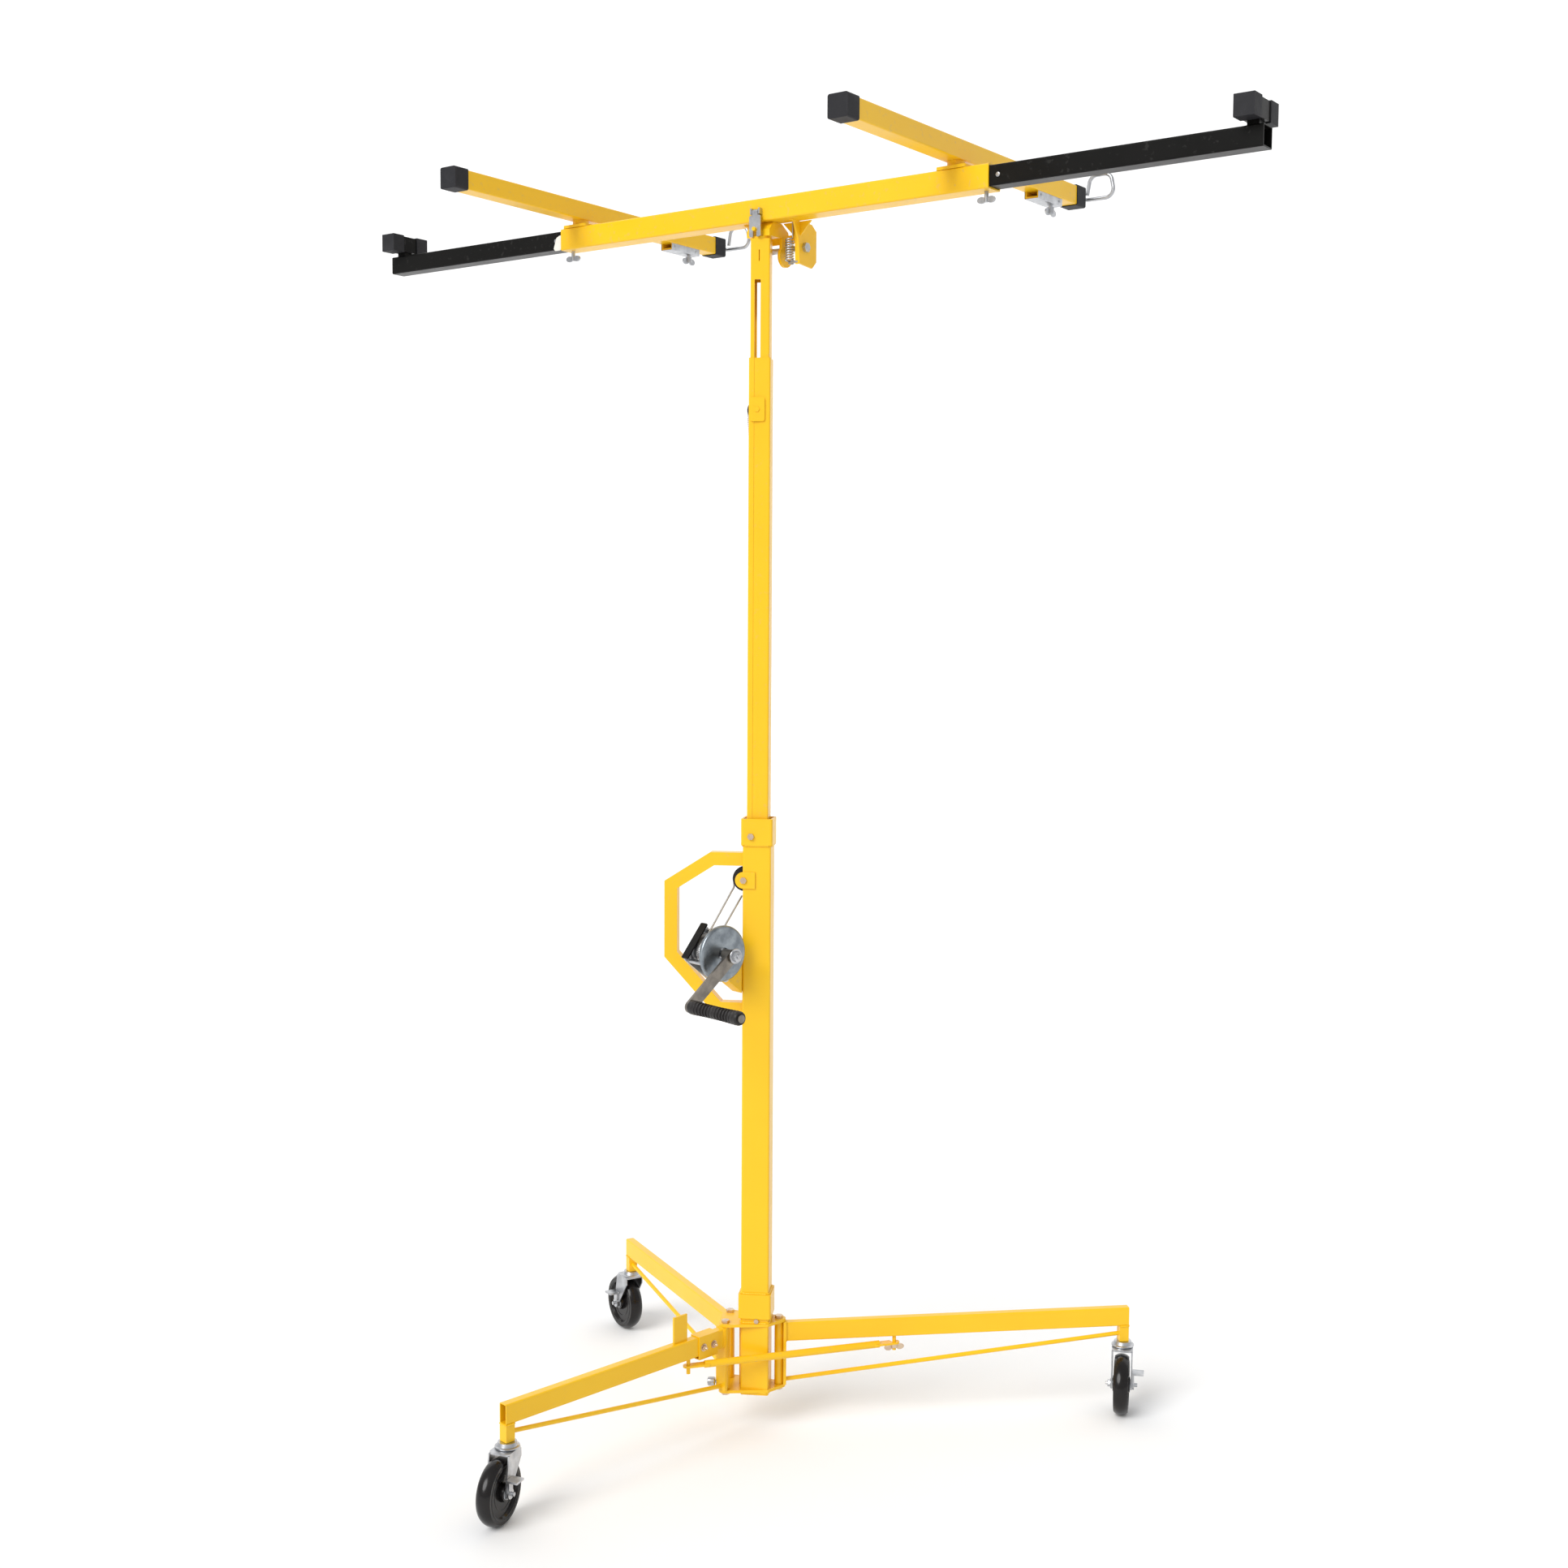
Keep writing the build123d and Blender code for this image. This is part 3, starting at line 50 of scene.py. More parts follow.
# ---------------------------------------------------------------- materials
class Shader:
    """A node material with helpers for the textures that most of them share."""

    def __init__(self, name):
        self.material = bpy.data.materials.new(name)
        self.material.use_nodes = True
        self.tree = self.material.node_tree
        self.principled = self.tree.nodes["Principled BSDF"]
        coordinates = self.tree.nodes.new("ShaderNodeTexCoord")
        self.place = coordinates.outputs["Object"]

    def node(self, kind, **settings):
        made = self.tree.nodes.new(kind)
        for key, value in settings.items():
            setattr(made, key, value)
        return made

    def link(self, source, target):
        self.tree.links.new(source, target)

    def stretched(self, scale):
        mapping = self.node("ShaderNodeMapping")
        mapping.inputs["Scale"].default_value = scale
        self.link(self.place, mapping.inputs["Vector"])
        return mapping.outputs["Vector"]

    def noise(self, scale, detail=4.0, roughness=0.55, place=None):
        noise = self.node("ShaderNodeTexNoise")
        noise.inputs["Scale"].default_value = scale
        noise.inputs["Detail"].default_value = detail
        noise.inputs["Roughness"].default_value = roughness
        self.link(place or self.place, noise.inputs["Vector"])
        return noise.outputs["Fac"]

    def ramp(self, value, low, high, start=(0, 0, 0, 1), end=(1, 1, 1, 1)):
        ramp = self.node("ShaderNodeValToRGB")
        ramp.color_ramp.elements[0].position = low
        ramp.color_ramp.elements[1].position = high
        ramp.color_ramp.elements[0].color = start
        ramp.color_ramp.elements[1].color = end
        self.link(value, ramp.inputs["Fac"])
        return ramp.outputs["Color"]

    def mix(self, factor, first, second):
        mix = self.node("ShaderNodeMix", data_type="RGBA")
        for socket, value in (("Factor", factor), (6, first), (7, second)):
            target = mix.inputs[socket]
            if isinstance(value, (tuple, float)):
                target.default_value = value
            else:
                self.link(value, target)
        return mix.outputs[2]

    def math(self, operation, first, second):
        made = self.node("ShaderNodeMath", operation=operation)
        for target, value in zip(made.inputs, (first, second)):
            if isinstance(value, (int, float)):
                target.default_value = value
            else:
                self.link(value, target)
        return made.outputs[0]

    def bump(self, height, strength, distance):
        bump = self.node("ShaderNodeBump")
        bump.inputs["Strength"].default_value = strength
        bump.inputs["Distance"].default_value = distance
        self.link(height, bump.inputs["Height"])
        self.link(bump.outputs["Normal"], self.principled.inputs["Normal"])

    def between(self, value, low, high):
        scaled = self.node("ShaderNodeMapRange")
        scaled.inputs["To Min"].default_value = low
        scaled.inputs["To Max"].default_value = high
        self.link(value, scaled.inputs["Value"])
        return scaled.outputs["Result"]


def painted(name, colour, shade, bare, wear=0.2, rough=(0.28, 0.42), peel=0.12, coat=0.25, specular=0.5,
            scuff=0.55):
    """Powder coat: a slight orange peel, tone drift, dust and chips down to metal along the edges."""
    shader = Shader(name)
    tone = shader.mix(shader.noise(5.0, 6.0), shade, colour)
    scuffs = shader.noise(60.0, 8.0, 0.7, shader.stretched((1.0, 1.0, 0.12)))
    tone = shader.mix(shader.ramp(scuffs, 0.68, 0.78), tone, tuple(scuff * c for c in colour[:3]) + (1,))
    geometry = shader.node("ShaderNodeNewGeometry")
    edge = shader.ramp(geometry.outputs["Pointiness"], 0.56, 0.66)
    chips = shader.ramp(shader.noise(90.0, 5.0), 0.6, 0.68)
    worn = shader.math("MULTIPLY", shader.math("MULTIPLY", edge, chips), wear)
    shader.link(shader.mix(worn, tone, bare), shader.principled.inputs["Base Color"])
    shader.link(shader.between(shader.noise(18.0, 5.0), *rough), shader.principled.inputs["Roughness"])
    shader.bump(shader.noise(700.0, 2.0), peel, 0.0004)
    shader.principled.inputs["Coat Weight"].default_value = coat
    shader.principled.inputs["Coat Roughness"].default_value = 0.12
    shader.principled.inputs["Specular IOR Level"].default_value = specular
    return shader.material


def plated(name, bright, dull, rough=(0.24, 0.44), grain=(1.0, 1.0, 1.0), spangle=45.0):
    """Plated steel: cloudy passivation, fine grain and small dull stains."""
    shader = Shader(name)
    clouds = shader.ramp(shader.noise(spangle, 5.0), 0.35, 0.68)
    tone = shader.mix(clouds, dull, bright)
    stains = shader.ramp(shader.noise(14.0, 8.0, 0.75), 0.62, 0.78)
    tone = shader.mix(stains, tone, tuple(0.45 * c for c in dull[:3]) + (1,))
    shader.link(tone, shader.principled.inputs["Base Color"])
    shader.principled.inputs["Metallic"].default_value = 1.0
    streaks = shader.noise(260.0, 4.0, 0.6, shader.stretched(grain))
    shader.link(shader.between(streaks, *rough), shader.principled.inputs["Roughness"])
    shader.bump(streaks, 0.12, 0.0003)
    return shader.material


def moulded(name, dark, light, rough, texture, strength, coat=0.0, specular=0.5):
    """Rubber or moulded plastic with a fine texture and chalky dust."""
    shader = Shader(name)
    dust = shader.ramp(shader.noise(22.0, 8.0, 0.7), 0.5, 0.85)
    shader.link(shader.mix(dust, dark, light), shader.principled.inputs["Base Color"])
    shader.link(shader.between(shader.noise(40.0, 5.0), *rough), shader.principled.inputs["Roughness"])
    shader.bump(shader.noise(texture, 3.0), strength, 0.0005)
    shader.principled.inputs["Coat Weight"].default_value = coat
    shader.principled.inputs["Coat Roughness"].default_value = 0.08
    shader.principled.inputs["Specular IOR Level"].default_value = specular
    return shader.material


def wire_rope(name):
    """Stranded wire rope: slanting strands with painted shade in the dark grooves between them, and oil patches.
    """
    shader = Shader(name)
    wave = shader.node("ShaderNodeTexWave", wave_type="BANDS", bands_direction="DIAGONAL")
    wave.inputs["Scale"].default_value = 190.0
    wave.inputs["Distortion"].default_value = 0.6
    shader.link(shader.place, wave.inputs["Vector"])
    strands = wave.outputs["Fac"]
    # The dark bands between the strands are painted shade in the grooves; the noise patches mixed in next are oil.
    tone = shader.mix(strands, (0.2, 0.2, 0.2, 1), (0.8, 0.8, 0.8, 1))
    oil_and_painted_groove_shade = shader.mix(shader.ramp(shader.noise(30.0), 0.5, 0.9), tone, (0.4, 0.38, 0.34, 1))
    shader.link(oil_and_painted_groove_shade, shader.principled.inputs["Base Color"])
    shader.principled.inputs["Metallic"].default_value = 0.9
    shader.link(shader.between(strands, 0.5, 0.3), shader.principled.inputs["Roughness"])
    shader.bump(strands, 0.6, 0.0006)
    return shader.material


YELLOW = painted("yellow_paint", (0.92, 0.56, 0.008, 1), (0.86, 0.48, 0.006, 1), (0.3, 0.28, 0.26, 1),
                 coat=0.15, specular=0.34, scuff=0.8)
BLACK = painted("black_paint", (0.005, 0.005, 0.0047, 1), (0.009, 0.0085, 0.008, 1), (0.16, 0.155, 0.15, 1),
                wear=0.12, rough=(0.24, 0.38), coat=0.0, specular=0.12, scuff=1.5)
ZINC = plated("zinc", (0.62, 0.63, 0.65, 1), (0.42, 0.43, 0.45, 1))
BRUSHED = plated("brushed_zinc", (0.36, 0.4, 0.43, 1), (0.2, 0.225, 0.25, 1), grain=(1, 1, 0.08))
CRANK_STEEL = plated("crank_steel", (0.32, 0.29, 0.25, 1), (0.2, 0.18, 0.16, 1), rough=(0.3, 0.5))
DARK_STEEL = plated("dark_steel", (0.2, 0.2, 0.19, 1), (0.12, 0.12, 0.115, 1), rough=(0.34, 0.55))
GOLD = plated("yellow_zinc", (0.74, 0.6, 0.42, 1), (0.6, 0.44, 0.34, 1), spangle=80.0)
ROPE = wire_rope("wire_rope")
RUBBER = moulded("cap_rubber", (0.014, 0.014, 0.017, 1), (0.03, 0.03, 0.034, 1), (0.5, 0.7), 420.0, 0.25,
                 specular=0.3)
GRIP = moulded("grip_rubber", (0.014, 0.012, 0.012, 1), (0.035, 0.031, 0.03, 1), (0.34, 0.5), 300.0, 0.2,
               specular=0.35)
TREAD = moulded("wheel_polymer", (0.006, 0.005, 0.005, 1), (0.016, 0.014, 0.013, 1), (0.16, 0.3), 160.0, 0.06,
                coat=0.15, specular=0.25)
NYLON = moulded("nylon", (0.78, 0.76, 0.7, 1), (0.6, 0.57, 0.5, 1), (0.35, 0.5), 260.0, 0.12)

FINISH = {
    "black_paint": BLACK, "zinc": ZINC, "yellow_zinc": GOLD, "cable_steel": ROPE, "cap_rubber": RUBBER,
    "grip_rubber": GRIP, "wheel_polymer": TREAD, "slider": NYLON, "yellow_paint": YELLOW,
}
SPECIAL = {
    "crank_arm": CRANK_STEEL, "winch_cover": BRUSHED, "brake_ratchet": DARK_STEEL, "ratchet_pawl": DARK_STEEL,
}
SOFT_EDGE = {"yellow_paint": 0.0009, "black_paint": 0.0009, "cap_rubber": 0.0022}
SHARP = math.radians(40)
for subpart in frame["record"]["subparts"]:
    node = NODES[subpart["node"]]
    finish = SPECIAL.get(subpart["node"], FINISH[subpart["material_slot"]])
    node.data.materials.clear()
    node.data.materials.append(finish)
    width = SOFT_EDGE.get(subpart["material_slot"])
    if width:
        bevel = node.modifiers.new("soft_edges", "BEVEL")
        bevel.width = width
        bevel.segments = 2
        bevel.angle_limit = SHARP
        bevel.use_clamp_overlap = True
        bevel.harden_normals = True


# ---------------------------------------------------------------- mesh helpers
def made(name, mesh, body, slot, material, smooth=True):
    """Adds a finished mesh as a piece of the object."""
    data = bpy.data.meshes.new(name)
    mesh.to_mesh(data)
    mesh.free()
    piece = bpy.data.objects.new(name, data)
    bpy.context.scene.collection.objects.link(piece)
    data.materials.append(material)
    if smooth:
        data.shade_smooth()
        data.set_sharp_from_angle(angle=SHARP)
    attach(piece, body)
    return piece


def turned(mesh, outline, place, steps=40):
    """Turns an outline of (radius, height) pairs about the local Z axis of a matrix."""
    rings = []
    for radius, height in outline:
        ring = []
        for step in range(steps):
            angle = 2 * math.pi * step / steps
            point = Vector((radius * math.cos(angle), radius * math.sin(angle), height))
            ring.append(mesh.verts.new(place @ point))
        rings.append(ring)
    for low, high in zip(rings, rings[1:]):
        for step in range(steps):
            mesh.faces.new((low[step], low[(step + 1) % steps], high[(step + 1) % steps], high[step]))
    mesh.faces.new(list(reversed(rings[0])))
    mesh.faces.new(rings[-1])


def facing(origin, direction, roll=0.0):
    """A matrix whose Z axis points along a direction."""
    turn = Vector(direction).to_track_quat("Z", "Y").to_matrix().to_4x4()
    return Matrix.Translation(origin) @ turn @ Matrix.Rotation(roll, 4, "Z")


def hexagon(mesh, place, across, tall):
    """A chamfered hexagon head."""
    corner = across * 0.577
    outline = ((across * 0.5, 0), (corner, 0.0004), (corner, tall - 0.001), (across * 0.48, tall))
    turned(mesh, outline, place, 6)


def bolt_end(mesh, origin, direction, across=0.013, tall=0.0055, roll=0.0):
    """A washer, a hexagon nut and a rounded thread end on a face."""
    place = facing(origin, direction, roll)
    turned(mesh, ((across * 0.78, 0), (across * 0.8, 0.0006), (across * 0.78, 0.0014)), place, 32)
    hexagon(mesh, place @ Matrix.Translation((0, 0, 0.0014)), across, tall)
    radius = across * 0.28
    outline = ((radius, 0), (radius, tall + 0.003), (radius * 0.8, tall + 0.004))
    turned(mesh, outline, place @ Matrix.Translation((0, 0, 0.0014)), 20)


def torus(mesh, place, radius, wire, around=56, section=10, start=0.0, sweep=2 * math.pi, rise=0.0):
    """A ring of wire about the local Z axis, or part of a coil if it rises."""
    closed = sweep >= 2 * math.pi - 1e-6 and rise == 0
    rings = []
    for step in range(around + (0 if closed else 1)):
        share = step / around
        angle = start + sweep * share
        ring = []
        for part in range(section):
            turn = 2 * math.pi * part / section
            out = radius + wire * math.cos(turn)
            height = wire * math.sin(turn) + rise * share
            point = Vector((out * math.cos(angle), out * math.sin(angle), height))
            ring.append(mesh.verts.new(place @ point))
        rings.append(ring)
    pairs = list(zip(rings, rings[1:] + (rings[:1] if closed else [])))
    for first, second in pairs:
        for part in range(section):
            after = (part + 1) % section
            mesh.faces.new((first[part], second[part], second[after], first[after]))
    if not closed:
        mesh.faces.new(rings[0])
        mesh.faces.new(list(reversed(rings[-1])))


def bead(mesh, start, end, radius, section=8):
    """A straight rippled weld bead."""
    start, end = Vector(start), Vector(end)
    count = max(3, int((end - start).length / 0.0016))
    place = facing(start, end - start)
    long = (end - start).length
    rings = []
    for step in range(count + 1):
        size = radius * (1.0 + 0.16 * math.cos(step * 2.1)) * (0.45 if step in (0, count) else 1.0)
        ring = []
        for part in range(section):
            turn = 2 * math.pi * part / section
            point = Vector((size * math.cos(turn), size * math.sin(turn), long * step / count))
            ring.append(mesh.verts.new(place @ point))
        rings.append(ring)
    for first, second in zip(rings, rings[1:]):
        for part in range(section):
            after = (part + 1) % section
            mesh.faces.new((first[part], first[after], second[after], second[part]))
    mesh.faces.new(list(reversed(rings[0])))
    mesh.faces.new(rings[-1])


def extruded(mesh, outline, place, depth):
    """Extrudes a closed outline of (x, y) pairs along the local Z axis of a matrix."""
    low, high = ([mesh.verts.new(place @ Vector((x, y, z))) for x, y in outline] for z in (0, depth))
    mesh.faces.new(list(reversed(low)))
    mesh.faces.new(high)
    for index in range(len(outline)):
        after = (index + 1) % len(outline)
        mesh.faces.new((low[index], low[after], high[after], high[index]))


def weld_loop(mesh, place, half_x, half_y, corner=0.003, radius=0.0022):
    """A weld round a rectangle in the local XY plane of a matrix."""
    points = []
    for x, y in ((1, 1), (-1, 1), (-1, -1), (1, -1)):
        ends = [(x * half_x, y * (half_y - corner)), (x * (half_x - corner), y * half_y)]
        points += ends if x == y else ends[::-1]
    points = [place @ Vector((x, y, 0)) for x, y in points]
    for start, end in zip(points, points[1:] + points[:1]):
        bead(mesh, start, end, radius)


# ---------------------------------------------------------------- camera, floor and lights
camera = bpy.data.objects.new("camera", bpy.data.cameras.new("camera"))
bpy.context.scene.collection.objects.link(camera)
camera.data.sensor_width = 36.0
camera.data.lens = 44.57
camera.location = (0.5325, -3.9175, 1.6641)
look = Matrix.Rotation(math.radians(7.0), 4, "Z") @ Matrix.Rotation(math.radians(90 - 4.54), 4, "X")
camera.rotation_euler = (look @ Matrix.Rotation(math.radians(0.34), 4, "Z")).to_euler()
bpy.context.scene.camera = camera

floor_mesh = bmesh.new()
bmesh.ops.create_grid(floor_mesh, x_segments=2, y_segments=2, size=30.0)
floor_data = bpy.data.meshes.new("floor")
floor_mesh.to_mesh(floor_data)
floor_mesh.free()
floor = bpy.data.objects.new("floor", floor_data)
bpy.context.scene.collection.objects.link(floor)
floor_shader = Shader("pale_floor")
floor_tone = floor_shader.mix(floor_shader.noise(0.6), (0.9, 0.9, 0.9, 1), (0.93, 0.93, 0.93, 1))
floor_shader.link(floor_tone, floor_shader.principled.inputs["Base Color"])
floor_shader.principled.inputs["Roughness"].default_value = 0.8
floor_data.materials.append(floor_shader.material)

world = bpy.data.worlds.new("studio")
bpy.context.scene.world = world
world.use_nodes = True
world.node_tree.nodes["Background"].inputs["Color"].default_value = (1.0, 1.0, 1.0, 1)
world.node_tree.nodes["Background"].inputs["Strength"].default_value = 0.62

# A pale studio wall far behind the object.
wall_mesh = bmesh.new()
bmesh.ops.create_grid(wall_mesh, x_segments=2, y_segments=2, size=30.0)
bmesh.ops.rotate(wall_mesh, verts=wall_mesh.verts, matrix=Matrix.Rotation(math.radians(90), 3, "X"))
bmesh.ops.translate(wall_mesh, verts=wall_mesh.verts, vec=(0, 14.0, 0))
wall_data = bpy.data.meshes.new("studio_wall")
wall_mesh.to_mesh(wall_data)
wall_mesh.free()
wall = bpy.data.objects.new("studio_wall", wall_data)
bpy.context.scene.collection.objects.link(wall)
wall_shader = Shader("studio_wall")
wall_shader.principled.inputs["Base Color"].default_value = (0.4, 0.4, 0.4, 1)
wall_shader.principled.inputs["Emission Color"].default_value = (1, 1, 1, 1)
wall_shader.principled.inputs["Emission Strength"].default_value = 0.62
wall_data.materials.append(wall_shader.material)

sun = bpy.data.objects.new("soft_key", bpy.data.lights.new("soft_key", "SUN"))
sun.data.energy = 2.1
sun.data.angle = math.radians(35)
sun.rotation_euler = Vector((0.454, 0.655, -0.605)).to_track_quat("-Z", "Y").to_euler()
bpy.context.scene.collection.objects.link(sun)
bpy.context.scene.view_settings.view_transform = "Standard"

# ---------------------------------------------------------------- winch: wound cable and crank nut
winch_axis = Vector(JOINTS["crank_turn"]["axis"])
winch_centre = Vector(JOINTS["crank_turn"]["pos_m"])
winch_place = facing(winch_centre, winch_axis)
DRUM_START, DRUM_END = -0.0555, -0.0165
ROPE_R = 0.0021
lead = 2 * ROPE_R + 0.0001
wraps = bmesh.new()
for layer, radius in enumerate((0.0185, 0.0222, 0.0254)):
    turns = int((DRUM_END - DRUM_START - 2 * ROPE_R) / lead)
    for turn in range(turns - layer % 2):
        base = DRUM_START + ROPE_R + lead * (turn + 0.5 * (layer % 2))
        torus(wraps, winch_place @ Matrix.Translation((0, 0, base)), radius, ROPE_R, 48, 8)
wraps_piece = made("wound_cable", wraps, "winch_drive", "cable_steel", ROPE)
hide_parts("cable_wraps")

crank_nut = bmesh.new()
bolt_end(crank_nut, winch_place @ Vector((0, 0, 0.0395)), winch_axis, 0.019, 0.008)
made("crank_nut", crank_nut, "winch_drive", "zinc", ZINC)

# ---------------------------------------------------------------- casters
RACE = ((0.0225, 0), (0.0238, 0.0012), (0.0238, 0.0034), (0.0215, 0.0046))
RACE_FOOT = 0.1362
for leg in LEG_NAMES:
    hub = Vector(JOINTS[f"wheel_roll_{leg}"]["pos_m"])
    axle = Vector(JOINTS[f"wheel_roll_{leg}"]["axis"])
    stem = Vector(JOINTS[f"caster_swivel_{leg}"]["pos_m"])
    hardware = bmesh.new()
    bolt_end(hardware, hub - axle * 0.022, -axle, 0.013, 0.006)
    top = Vector((stem.x, stem.y, RACE_FOOT))
    # Ball race between the crown and the leg's post.
    turned(hardware, RACE, facing(top, (0, 0, 1)))
    made(f"caster_hardware_{leg}", hardware, f"caster_{leg}", "zinc", ZINC)
    ring = bmesh.new()
    for side in (-1, 1):
        torus(ring, facing(hub + axle * side * 0.0092, axle), 0.032, 0.0014, 64, 8)
        torus(ring, facing(hub + axle * side * 0.0146, axle), 0.0505, 0.0011, 72, 8)
    made(f"wheel_rings_{leg}", ring, f"wheel_{leg}", "wheel_polymer", TREAD)
    bearing = bmesh.new()
    for side in (-1, 1):
        place = facing(hub + axle * side * 0.0178, axle * side)
        turned(bearing, ((0.0122, 0), (0.0122, 0.0006), (0.0108, 0.0011)), place, 36)
    made(f"wheel_bearings_{leg}", bearing, f"wheel_{leg}", "zinc", ZINC)

# ---------------------------------------------------------------- grip ribs
GRIP_RIBS = 15
grip_axis = Vector(JOINTS["grip_spin"]["axis"])
grip_place = facing(Vector(JOINTS["grip_spin"]["pos_m"]), grip_axis)
ribs = bmesh.new()
along = [(vertex.co - grip_place.translation).dot(grip_axis) for vertex in NODES["crank_grip"].data.vertices]
grip_low, grip_high = min(along) + 0.012, max(along) - 0.012
for step in range(GRIP_RIBS):
    share = step / (GRIP_RIBS - 1)
    waist = 0.0122 + 0.0012 * abs(2 * share - 1) ** 2
    rib_place = grip_place @ Matrix.Translation((0, 0, grip_low + (grip_high - grip_low) * share))
    torus(ribs, rib_place, waist, 0.0009, 40, 6)
made("grip_ribs", ribs, "grip", "grip_rubber", GRIP)

# ---------------------------------------------------------------- welds
tilt_axis = Vector(JOINTS["cradle_tilt"]["axis"])
CRADLE = Matrix.Rotation(math.atan2(tilt_axis.y, tilt_axis.x), 4, "Z")
mast_welds = bmesh.new()
for height in (1.2262, 0.2932, 0.2398, 0.2312, 0.0828):
    weld_loop(mast_welds, Matrix.Translation((0, 0, height)), 0.0298, 0.0298, 0.004, 0.0024)
for height in (1.196, 0.886):
    place = Matrix.Translation((-0.0298, 0, height)) @ Matrix.Rotation(math.radians(90), 4, "Y")
    weld_loop(mast_welds, place, 0.0142, 0.0142, 0.002, 0.0022)
made("mast_welds", mast_welds, "mast", "yellow_paint", YELLOW)

BEAM_TOP, BEAM_UNDER, BEAM_N, POST_U = 2.519, 2.474, 0.008, 1.032
ARM_PLACES = {"left": -0.490, "right": 0.445}
PAD_WELD_R, PAD_WELD_STEPS = 0.0172, 28
cradle_welds = bmesh.new()
for place in ARM_PLACES.values():
    pad = CRADLE @ Matrix.Translation((place, BEAM_N, BEAM_TOP + 0.0061))
    for step in range(PAD_WELD_STEPS):
        angles = [2 * math.pi * (step + part) / PAD_WELD_STEPS for part in (0, 1)]
        ends = [pad @ Vector((PAD_WELD_R * math.cos(a), PAD_WELD_R * math.sin(a), 0)) for a in angles]
        bead(cradle_welds, *ends, 0.0018)
for cheek in (0.072, 0.068, -0.040, -0.044):
    ends = [CRADLE @ Vector((cheek, along, BEAM_UNDER - 0.0004)) for along in (0.0, 0.028)]
    bead(cradle_welds, *ends, 0.002)
made("cradle_welds", cradle_welds, "cradle", "yellow_paint", YELLOW)
for side, way in (("left", -1), ("right", 1)):
    post_weld = bmesh.new()
    place = CRADLE @ Matrix.Translation((way * POST_U, BEAM_N, 2.5158))
    weld_loop(post_weld, place, 0.0116, 0.0116, 0.0012, 0.0018)
    made(f"outrigger_weld_{side}", post_weld, f"outrigger_{side}", "black_paint", BLACK)
for leg in LEG_NAMES:
    pin = Vector(JOINTS[f"leg_fold_{leg}"]["pos_m"])
    end = Vector(JOINTS[f"caster_swivel_{leg}"]["pos_m"])
    angle = math.atan2(end.y - pin.y, end.x - pin.x)
    turn = Matrix.Translation((pin.x, pin.y, 0)) @ Matrix.Rotation(angle, 4, "Z")
    reach = (Vector((end.x, end.y)) - Vector((pin.x, pin.y))).length
    welds = bmesh.new()
    weld_loop(welds, turn @ Matrix.Translation((reach, 0, 0.1816)), 0.0104, 0.0104, 0.0012, 0.0018)
    root = turn @ Matrix.Translation((0.0146, 0, 0.202)) @ Matrix.Rotation(math.radians(90), 4, "Y")
    weld_loop(welds, root, 0.0204, 0.0104, 0.002, 0.0018)
    made(f"leg_welds_{leg}", welds, f"leg_{leg}", "yellow_paint", YELLOW)

# ---------------------------------------------------------------- hook carriers and beam end fittings
CARRIER = (
    (0.0156, 0.0), (0.0156, -0.0133), (0.0145, -0.0147), (-0.0145, -0.0147), (-0.0156, -0.0133),
    (-0.0156, 0.0), (-0.01505, 0.0), (-0.01505, -0.0129), (-0.0143, -0.01405), (0.0143, -0.01405),
    (0.01505, -0.0129), (0.01505, 0.0),
)
ARM_UNDER, CARRIER_START, CARRIER_LONG = 2.535, 0.298, 0.100
for side, place in ARM_PLACES.items():
    carrier = bmesh.new()
    frame_place = CRADLE @ Matrix.Translation((place, CARRIER_START + CARRIER_LONG, ARM_UNDER))
    extruded(carrier, CARRIER, frame_place @ Matrix.Rotation(math.radians(90), 4, "X"), CARRIER_LONG)
    for along in (0.012, 0.088):
        for face in (-1, 1):
            out = CRADLE.to_3x3() @ Vector((face, 0, 0))
            rivet = facing(frame_place @ Vector((face * 0.0156, -along, -0.007)), out)
            turned(carrier, ((0.003, 0), (0.003, 0.0006), (0.0016, 0.0014)), rivet, 16)
    made(f"hook_carrier_{side}", carrier, f"arm_{side}", "zinc", ZINC)

clip = bmesh.new()
CLIP = ((0, 0), (0.004, -0.003), (0.017, -0.003), (0.021, 0.002), (0.013, 0.024), (0.004, 0.028), (0, 0.028))
clip_place = CRADLE @ Matrix.Translation((-0.5272, -0.0118, BEAM_UNDER + 0.004))
clip_place = clip_place @ Matrix.Rotation(math.pi, 4, "Z") @ Matrix.Rotation(math.radians(90), 4, "X")
extruded(clip, CLIP, clip_place @ Matrix.Scale(-1, 4, (0, 0, 1)), 0.0022)
bmesh.ops.recalc_face_normals(clip, faces=clip.faces)
made("beam_end_clip", clip, "cradle", "slider", NYLON)
for side, way in (("left", -1), ("right", 1)):
    button = bmesh.new()
    out = CRADLE.to_3x3() @ Vector((0, -1, 0))
    button_place = facing(CRADLE @ Vector((way * 0.545, BEAM_N - 0.019, 2.4965)), out)
    turned(button, ((0.0042, 0), (0.0042, 0.0002), (0.0036, 0.00035)), button_place, 24)
    made(f"stop_button_{side}", button, f"outrigger_{side}", "zinc", ZINC)

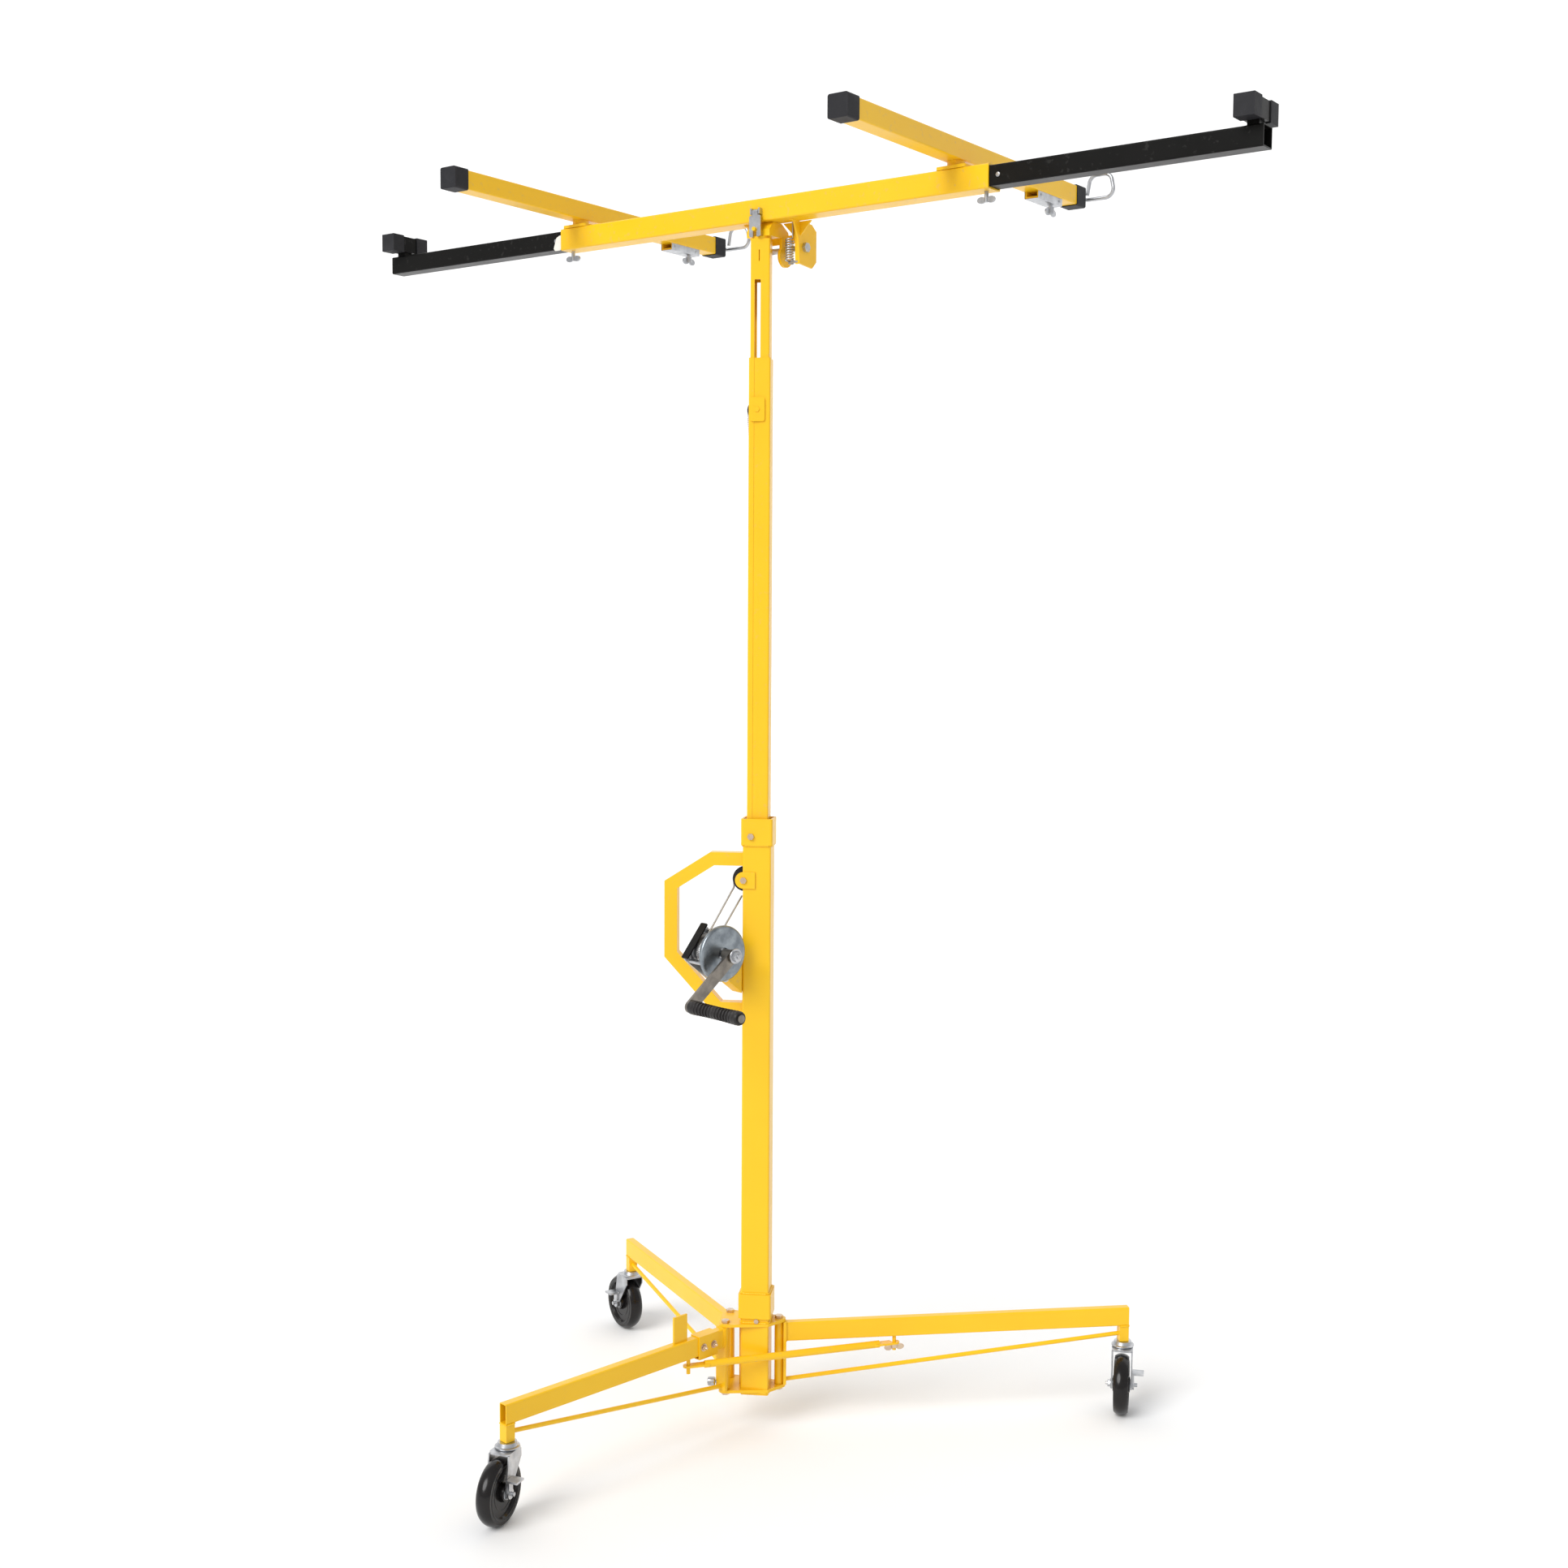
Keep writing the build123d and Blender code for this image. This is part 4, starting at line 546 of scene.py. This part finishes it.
# ---------------------------------------------------------------- return spring under the beam
SPRING_U, SPRING_N, SPRING_FOOT, SPRING_LONG, SPRING_TURNS = 0.048, 0.029, 2.398, 0.044, 9
spring = bmesh.new()
coil = CRADLE @ Matrix.Translation((SPRING_U, SPRING_N, SPRING_FOOT))
sweep = 2 * math.pi * SPRING_TURNS
torus(spring, coil, 0.008, 0.0016, SPRING_TURNS * 26, 10, 0.0, sweep, SPRING_LONG)
turned(spring, ((0.0015, SPRING_LONG - 0.001), (0.0015, BEAM_UNDER - SPRING_FOOT + 0.0005)),
       coil @ Matrix.Translation((0.0075, 0, 0)), 12)
torus(spring, coil @ Matrix.Translation((0.0045, 0.004, -0.0015)) @ Matrix.Rotation(math.radians(90), 4, "X"),
      0.004, 0.0014, 30, 8)
spring_piece = made("return_spring", spring, "cradle", "zinc", ZINC)
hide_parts("tilt_spring")
stud = bmesh.new()
stud_place = facing(CRADLE @ Vector((0.068, 0.033, 2.3965)), CRADLE.to_3x3() @ Vector((-1, 0, 0)))
turned(stud, ((0.0025, 0), (0.0025, 0.022), (0.004, 0.022), (0.004, 0.0235), (0.003, 0.0245)), stud_place, 20)
made("spring_stud", stud, "cradle", "zinc", ZINC)

# ---------------------------------------------------------------- lock knob and clamp bolts of the front leg
pin = Vector(JOINTS["leg_fold_front"]["pos_m"])
end = Vector(JOINTS["caster_swivel_front"]["pos_m"])
leg_angle = math.atan2(end.y - pin.y, end.x - pin.x)
knob_way = Vector((math.cos(leg_angle - 0.87), math.sin(leg_angle - 0.87), 0))
knob = bmesh.new()
knob_outline = (
    (0.003, 0), (0.003, 0.012), (0.0072, 0.0125), (0.0092, 0.0145), (0.0094, 0.025), (0.0082, 0.028),
    (0.004, 0.029),
)
turned(knob, knob_outline, facing(Vector((pin.x, pin.y, 0.104)) + knob_way * 0.0088, knob_way), 28)
made("leg_lock_knob", knob, "leg_front", "zinc", ZINC)
clamp_bolts = bmesh.new()
leg_frame = Matrix.Translation((pin.x, pin.y, 0)) @ Matrix.Rotation(leg_angle, 4, "Z")
for along in (0.046, 0.074):
    for side in (-1, 1):
        out = leg_frame.to_3x3() @ Vector((0, side, 0))
        bolt_end(clamp_bolts, leg_frame @ Vector((along, side * 0.013, 0.2)), out, 0.01, 0.0045)
made("clamp_bolts", clamp_bolts, "leg_front", "yellow_zinc", GOLD)
